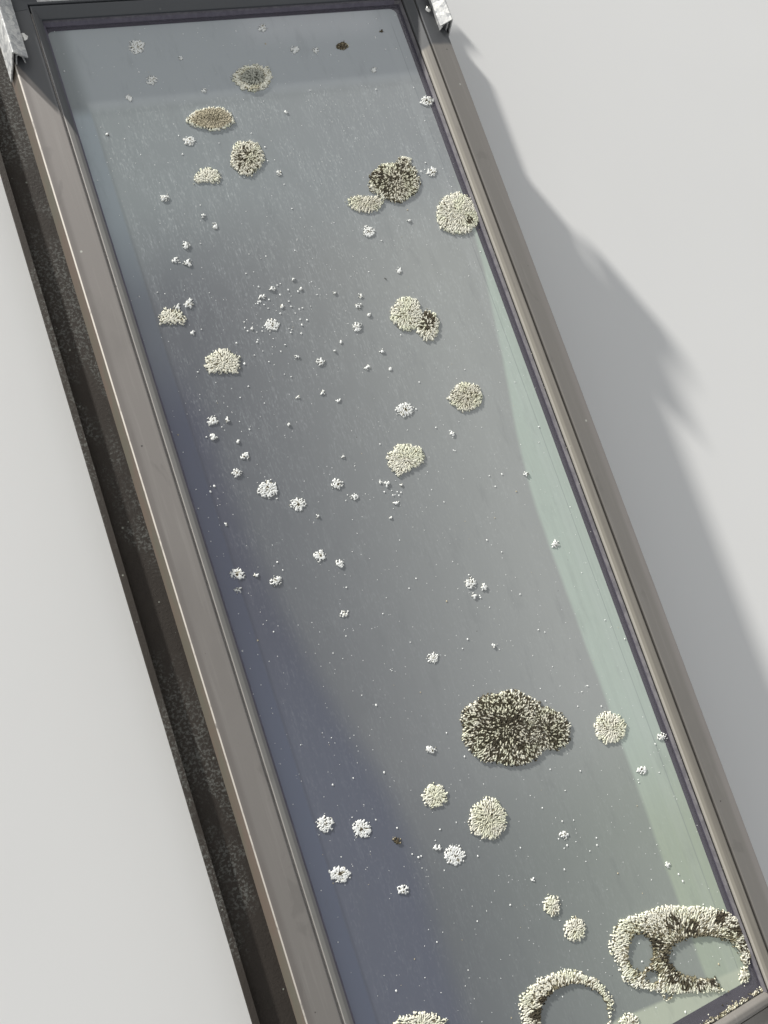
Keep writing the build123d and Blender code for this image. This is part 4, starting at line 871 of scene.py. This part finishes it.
class Outline:
    """Where a patch grows, in the photograph's directions, as seen from its centre on the glass."""

    def __init__(self, patch, draw):
        self.patch = patch
        self.centre = from_photo(patch.across, patch.down)
        right = from_photo(patch.across + 1, patch.down) - self.centre
        down = from_photo(patch.across, patch.down + 1) - self.centre
        self.to_pixels = Matrix(((right.x, down.x), (right.y, down.y))).inverted()
        pixel = math.sqrt(abs(right.x * down.y - right.y * down.x))
        self.narrow = min(patch.width, patch.height) * pixel / 2
        self.wide = max(patch.width, patch.height) * pixel / 2
        self.swells = [(waves, swell, draw.uniform(0, math.tau)) for waves, swell in SWELLS]

    def pixels(self, x, y):
        moved = self.to_pixels @ Vector((x, y))
        return moved.x, moved.y

    def share(self, x, y):
        """0 at the centre and 1 on the outline."""
        patch = self.patch
        across, down = self.pixels(x, y)
        u, v = across / patch.width * 2, -down / patch.height * 2
        turn = math.atan2(v, u)
        radius = 1.0 + sum(swell * math.sin(waves * turn + phase) for waves, swell, phase in self.swells)
        if patch.point:
            towards, share = patch.point
            radius += share * max(0.0, math.cos(turn - math.radians(towards))) ** 8
        reach = (abs(u) ** patch.square + abs(v) ** patch.square) ** (1 / patch.square) / radius
        if patch.bite:
            turn = math.radians(patch.bite[0])
            reach = max(reach, 1 + u * math.cos(turn) + v * math.sin(turn) - patch.bite[1])
        return reach

    def hole(self, x, y):
        """Distance from the nearest hole's edge, in the photograph's pixels. Less than 0 is inside."""
        across, down = self.pixels(x, y)
        nearest = NO_HOLE
        for middle, below, width, height in self.patch.holes:
            u = (across + self.patch.across - middle) / width * 2
            v = (down + self.patch.down - below) / height * 2
            nearest = min(nearest, (math.hypot(u, v) - 1) * min(width, height) / 2)
        return nearest

    def spot(self, x, y, mood):
        """Whether a point lies in a dark place, whose edge is ragged."""
        across, down = self.pixels(x, y)
        for middle, below, radius in self.patch.spots:
            away = math.hypot(across + self.patch.across - middle, down + self.patch.down - below)
            if away < radius * (0.75 + 0.5 * mood):
                return True
        return False


class Lobes:
    """The lobes of one rosette. Each has its own height, its own mood and its own end at the rim."""

    def __init__(self, outline, draw):
        grain = outline.patch.grain
        self.points, count = make_lobes(1.5 * outline.wide, grain, draw)
        self.reach = LOBE_REACH * (0.55 + 0.45 * grain)
        self.ragged = RAGGED_EDGE / outline.narrow
        self.height = [draw.uniform(0.7, 1.0) for _ in range(count)]
        self.mood = [draw.random() for _ in range(count)]
        longer = [draw.uniform(-self.ragged, 0.8 * self.ragged) for _ in range(count)]
        self.tree = kdtree.KDTree(len(self.points))
        for index, (x, y, _) in enumerate(self.points):
            self.tree.insert((x, y, 0), index)
        self.tree.balance()
        self.grows = [outline.share(x, y) < 1 + longer[lobe]
                      and outline.hole(x, y) > 3 * self.mood[lobe] - 1.5 for x, y, lobe in self.points]


def covered_cells(outline, lobes, draw):
    """The grid cells that grow: place, share of the outline, share of a lobe's reach, lobe."""
    closed = 1 - OPEN_EDGE / outline.narrow
    steps = int(1.6 * outline.wide / GRID) + 2
    found = {}
    for row in range(-steps, steps + 1):
        for column in range(-steps, steps + 1):
            x = (column + draw.uniform(-GRID_JITTER, GRID_JITTER)) * GRID
            y = (row + draw.uniform(-GRID_JITTER, GRID_JITTER)) * GRID
            rho = outline.share(x, y)
            if rho > 1 + lobes.ragged:
                continue
            _, index, away = lobes.tree.find((x, y, 0))
            gap = away > lobes.reach and (rho > closed or outline.hole(x, y) < OPEN_RIM_OF_HOLE)
            if lobes.grows[index] and not gap:
                lobe = lobes.points[index][2]
                found[(row, column)] = (x, y, min(rho, 1.0), min(away / lobes.reach, 1.0), lobe)
    return found


def tone_and_hue(outline, x, y, rho, crown, height, mood):
    """The look of one point: rho is its share of the outline, crown is 1 on the crest of its lobe. The
    tone falls from the crest into the gaps as painted shade.
    """
    patch = outline.patch
    dark_share = patch.rim_dark + (patch.dark - patch.rim_dark) * (1 - rho ** 2)
    near_hole = max(0.0, 1 - outline.hole(x, y) / DARK_RIM_OF_HOLE)
    tone = (0.05 + 0.95 * crown) * (0.75 + 0.25 * height) * (0.88 + 0.22 * rho)
    hue = min(BROWNEST, patch.olive * (1.25 - 1.25 * rho ** 4) + 0.22 * (1 - rho ** 2))
    if patch.olive < 0:
        hue = patch.olive
    if mood < dark_share + 0.95 * near_hole * (1.3 - rho):
        tone *= patch.deep
        hue = min(BROWNEST, hue + 0.25)
    # A white rim is white of its own and painted brighter still, to make up for the hood's shadow
    if patch.white_rim:
        central = rho < patch.white_rim + 0.15 * mood
        hue = patch.olive if central else 0.0
        tone *= 0.75 + 0.45 * rho if central else 1.1
    if mood < SPOT_SHARE and outline.spot(x, y, mood):
        tone = 0.10 * tone - 0.10
        hue = 0.0
    return tone, hue


def grow(patch, seed, mesh):
    """Add one rosette to a mesh: crowned lobes with gaps painted dark as shade, closed below."""
    draw = random.Random(seed)
    outline = Outline(patch, draw)
    lobes = Lobes(outline, draw)
    found = covered_cells(outline, lobes, draw)
    made = {}
    for (row, column), (x, y, rho, away, lobe) in found.items():
        inside = all((row + i, column + j) in found for i in (-1, 0, 1) for j in (-1, 0, 1))
        height = lobes.height[lobe]
        crown = 1 - away * away
        level = patch.thick * MM * (1 - 0.35 * rho ** 3) * (0.25 + 0.75 * math.sqrt(crown) * height)
        tone, hue = tone_and_hue(outline, x, y, rho, crown, height, lobes.mood[lobe])
        place = outline.centre.x + x, outline.centre.y + y
        # Points on the glass take 0.6 of the tone: painted shade at the foot
        low = mesh.add((*place, GLASS_TOP + FOOT), tone * 0.6, hue)
        high = mesh.add((*place, GLASS_TOP + level), tone, hue) if inside else low
        made[(row, column)] = (low, high)
    for row, column in made:
        corners = [(row, column), (row, column + 1), (row + 1, column + 1), (row + 1, column)]
        if not all(corner in made for corner in corners):
            continue
        lows, highs = zip(*(made[corner] for corner in corners))
        if highs != lows:
            mesh.faces += [highs, lows[::-1]]


class Growth:
    """The points and faces of one piece of growth, with the tone and the hue of each point."""

    def __init__(self):
        self.points, self.faces, self.tones, self.hues = [], [], [], []

    def add(self, place, tone, hue):
        self.points.append(place)
        self.tones.append(tone)
        self.hues.append(hue)
        return len(self.points) - 1

    def piece(self, name):
        made = mesh_piece(name, self.points, self.faces, MATERIALS["lichen_crust"],
                          tone=self.tones, hue=self.hues)
        edited = bmesh.new()
        edited.from_mesh(made.data)
        loose = [vertex for vertex in edited.verts if not vertex.link_faces]
        bmesh.ops.delete(edited, geom=loose, context="VERTS")
        edited.to_mesh(made.data)
        edited.free()
        return made


def mesh_piece(name, vertices, faces, material, **numbers):
    """A new piece on the sash from lists of points and faces, with numbers stored on its points."""
    mesh = bpy.data.meshes.new(name)
    mesh.from_pydata(vertices, [], faces)
    for key, values in numbers.items():
        attribute = mesh.attributes.new(key, "FLOAT", "POINT")
        attribute.data.foreach_set("value", values)
    mesh.materials.append(material)
    mesh.shade_smooth()
    piece = bpy.data.objects.new(name, mesh)
    bpy.context.scene.collection.objects.link(piece)
    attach(piece, "sash")
    return piece


def make_growth(name, patches, first_seed):
    mesh = Growth()
    for index, patch in enumerate(patches):
        grow(patch, first_seed + index, mesh)
    return mesh.piece(name)


SMALL_GROWTH = 1.15
SMALLEST_WITH_SPOT = 10


def small_patches():
    """The small rosettes, white and the larger ones with a dark middle, and the dark cushions."""
    draw = random.Random(31)
    patches = []
    for across, down, seen in ROSETTES:
        size = seen * SMALL_GROWTH
        high = size * draw.uniform(0.8, 1.0)
        spots = [(across + draw.uniform(-1, 1), down + draw.uniform(-1, 1), 0.09 * size)]
        patches.append(Patch(across, down, size, high, draw.uniform(1.0, 1.7), dark=0.05,
                             olive=COOL_WHITE, grain=0.8,
                             spots=spots if seen >= SMALLEST_WITH_SPOT else []))
    for across, down, size in CUSHIONS:
        patches.append(Patch(across, down, size, 0.8 * size, 1.6, dark=0.9, rim_dark=0.6, olive=1.0,
                             grain=0.5))
    return patches


def sides(rings):
    """The faces between each ring of points and the next."""
    faces = []
    for near, far in zip(rings, rings[1:]):
        for side in range(len(near)):
            after = (side + 1) % len(near)
            faces.append([near[side], near[after], far[after], far[side]])
    return faces


def crumb(place, radius, tone, hue, draw, mesh):
    """A low many-sided crumb."""
    corners = draw.choice((5, 6, 7))
    start = draw.uniform(0, math.tau)
    stretch = draw.uniform(0.7, 1.4)
    rings = []
    for level, width in ((FOOT, 1.0), (radius * 0.35, 0.85), (radius * 0.6, 0.45)):
        ring = []
        for index in range(corners):
            turn = start + math.tau * index / corners
            reach = radius * width * draw.uniform(0.7, 1.2)
            across = place.x + reach * math.cos(turn)
            along = place.y + reach * stretch * math.sin(turn)
            ring.append(mesh.add((across, along, place.z + level), tone, hue))
        rings.append(ring)
    mesh.faces += [rings[0][::-1], rings[-1]] + sides(rings)


# Where crumbs gather: place in the photograph, spread in mm, how many
CRUMB_GROUPS = [
    (280, 310, 22, 34), (262, 340, 16, 14), (392, 488, 11, 14), (480, 590, 9, 8), (570, 830, 15, 10),
    (440, 850, 14, 8), (420, 175, 14, 10), (660, 960, 26, 18), (255, 345, 26, 16), (455, 438, 12, 6),
]
CRUMBS = 850
CRUMB_MARGIN = 5 * MM
CRUMB_LEAST = 0.36 * MM
CRUMB_MORE = 0.80 * MM
WHITE_CRUMBS = 0.94


def make_specks():
    """Crumbs of lichen and grit on the glass."""
    draw = random.Random(77)
    mesh = Growth()
    length = TOP_LIP - BOTTOM_LIP - 2 * CRUMB_MARGIN
    for _ in range(CRUMBS):
        right = draw.uniform(CRUMB_MARGIN, 2 * HALF_WIDTH - CRUMB_MARGIN)
        down = CRUMB_MARGIN + length * draw.random() ** 0.9
        place = Vector((right - HALF_WIDTH, TOP_LIP - down, GLASS_TOP))
        radius = CRUMB_LEAST + CRUMB_MORE * draw.random() ** 4
        tone = draw.uniform(0.9, 1.2)
        crumb(place, radius, tone, COOL_WHITE if draw.random() < WHITE_CRUMBS else 1.0, draw, mesh)
    for across, down, spread, count in CRUMB_GROUPS:
        middle = from_photo(across, down)
        for _ in range(count):
            place = middle + Vector((draw.gauss(0, spread), draw.gauss(0, spread), 0)) * MM
            radius = draw.uniform(0.4, 1.2) * MM
            crumb(place, radius, draw.uniform(0.9, 1.2), COOL_WHITE, draw, mesh)
    return mesh.piece("lichen_specks")


MOSS_LINE = BOTTOM_LIP + 1.0 * MM
MOSS_END = 2.5 * MM
MOSS_TONES = (0.10, 0.30, 0.55, 0.90)


def make_moss():
    """Moss along the foot of the glass, in clumps against the bottom cover."""
    draw = random.Random(91)
    mesh = Growth()
    along = -HALF_WIDTH + MOSS_END
    while along < HALF_WIDTH - MOSS_END:
        width = draw.uniform(2.0, 5.5) * MM
        for _ in range(draw.randint(5, 18)):
            across = along + draw.gauss(0, 0.5) * width
            across = max(MOSS_END - HALF_WIDTH, min(HALF_WIDTH - MOSS_END, across))
            up = min(2.0, abs(draw.gauss(0, 0.6))) * width
            height = draw.uniform(0, 0.25) * max(0.0, width - up)
            radius = draw.uniform(0.5, 1.2) * MM
            tone = draw.choice(MOSS_TONES)
            place = Vector((across, MOSS_LINE + up, GLASS_TOP + height))
            crumb(place, radius, tone, draw.uniform(0.1, 0.9), draw, mesh)
        along += width * draw.uniform(0.5, 1.5)
    return mesh.piece("moss_line")


# A strip in the grooves between the beads and the side covers: pale dust on the left, near black on the
# right. Its depth is by side: left, then right.
GROOVE_WIDTH = 1.2 * MM
DUST_DEPTH = {-1: 0.12 * MM, 1: 0.45 * MM}
DUST_THICK = 1.5 * MM
DUST_UNEVEN = 0.12
DUST_END = 2 * MM
DUST_STEPS = 160


def groove_dust_paint():
    paint = Paint("groove_dust", roughness=0.9)
    grain = paint.noise(260, 4, 0.7, (1, 0.3, 1))
    tone = paint.step(grain, 0.35, 0.65)
    left = paint.mix(tone, (0.200, 0.184, 0.170), (0.285, 0.265, 0.245))
    right = paint.mix(tone, (0.030, 0.027, 0.023), (0.060, 0.054, 0.046))
    paint.tones(paint.step(paint.x, -NEAR_MIDDLE, NEAR_MIDDLE), left, right)
    paint.bump(grain, 0.3 * MM, 0.5)
    return paint.done()


def make_groove_dust():
    """A strip low in each side groove, with an uneven top: settled dust on the left, near black on the
    right.
    """
    draw = random.Random(5)
    points, faces = [], []
    low_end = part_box("side_cover_left")[0].y + DUST_END
    for sign in (-1, 1):
        base = len(points)
        for index in range(DUST_STEPS + 1):
            y = TOP_LIP + (low_end - TOP_LIP) * index / DUST_STEPS
            top = COVER_TOP - DUST_DEPTH[sign] - draw.uniform(0, DUST_UNEVEN) * MM
            low = top - DUST_THICK
            for out, z in ((0, low), (GROOVE_WIDTH, low), (GROOVE_WIDTH, top), (0, top)):
                points.append((sign * (HALF_WIDTH + BEAD_RUN + out), y, z))
        rings = [[base + 4 * index + side for side in range(4)] for index in range(DUST_STEPS + 1)]
        strip = sides(rings) + [rings[0][::-1], rings[-1]]
        faces += [face if sign < 0 else face[::-1] for face in strip]
    return mesh_piece("groove_dust", points, faces, groove_dust_paint())


# Stage

FLOOR_SIZE = 12
FLOOR_DEPTH = 0.5 * MM
DOME_STRENGTH = 0.50
SHOWN_STRENGTH = 1.0
KEY_STRENGTH = 5.3
KEY_ANGLE = math.radians(2.2)
KEY_TOWARDS = Vector((0.393, -0.893, -0.235)).normalized()


def make_floor():
    bpy.ops.mesh.primitive_plane_add(size=FLOOR_SIZE, location=(0, 0, -FLOOR_DEPTH))
    floor = bpy.context.object
    floor.name = "floor"
    floor.data.materials.append(floor_paint())


def make_dome():
    """A pale dome, shown brighter to the camera and to reflections."""
    world = bpy.data.worlds.new("world")
    bpy.context.scene.world = world
    world.use_nodes = True
    tree = world.node_tree
    plain = tree.nodes["Background"]
    shown = tree.nodes.new("ShaderNodeBackground")
    for sky, colour, strength in ((plain, (0.96, 0.98, 1.0, 1), DOME_STRENGTH),
                                  (shown, (0.86, 0.86, 0.85, 1), SHOWN_STRENGTH)):
        sky.inputs["Color"].default_value = colour
        sky.inputs["Strength"].default_value = strength
    path = tree.nodes.new("ShaderNodeLightPath")
    seen = path.outputs["Is Camera Ray"]
    for ray in ("Is Glossy Ray", "Is Transmission Ray"):
        either = tree.nodes.new("ShaderNodeMath")
        either.operation = "MAXIMUM"
        tree.links.new(seen, either.inputs[0])
        tree.links.new(path.outputs[ray], either.inputs[1])
        seen = either.outputs[0]
    choice = tree.nodes.new("ShaderNodeMixShader")
    tree.links.new(seen, choice.inputs[0])
    tree.links.new(plain.outputs[0], choice.inputs[1])
    tree.links.new(shown.outputs[0], choice.inputs[2])
    tree.links.new(choice.outputs[0], tree.nodes["World Output"].inputs["Surface"])


def make_key():
    """A low, slightly warm sun."""
    sun = bpy.data.lights.new("key", "SUN")
    sun.energy = KEY_STRENGTH
    sun.angle = KEY_ANGLE
    sun.color = (1.0, 0.97, 0.92)
    lamp = bpy.data.objects.new("key", sun)
    lamp.rotation_mode = "QUATERNION"
    lamp.rotation_quaternion = KEY_TOWARDS.to_track_quat("-Z", "Y")
    bpy.context.scene.collection.objects.link(lamp)


make_camera()
finish_nodes()
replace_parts(make_growth("lichen_head", HEAD_PATCHES, first_seed=1), "lichen_patches")
make_growth("lichen_upper", UPPER_PATCHES, first_seed=1 + len(HEAD_PATCHES))
make_growth("lichen_lower", LOWER_PATCHES, first_seed=101)
make_growth("lichen_speckled", SPECKLED_PATCHES, first_seed=131)
make_growth("lichen_ring", RING_PATCHES, first_seed=151)
make_growth("lichen_arc", ARC_PATCHES, first_seed=171)
make_moss()
make_growth("lichen_small", small_patches(), first_seed=201)
make_specks()
make_groove_dust()
make_floor()
make_dome()
make_key()

bpy.context.scene.view_settings.view_transform = "Standard"
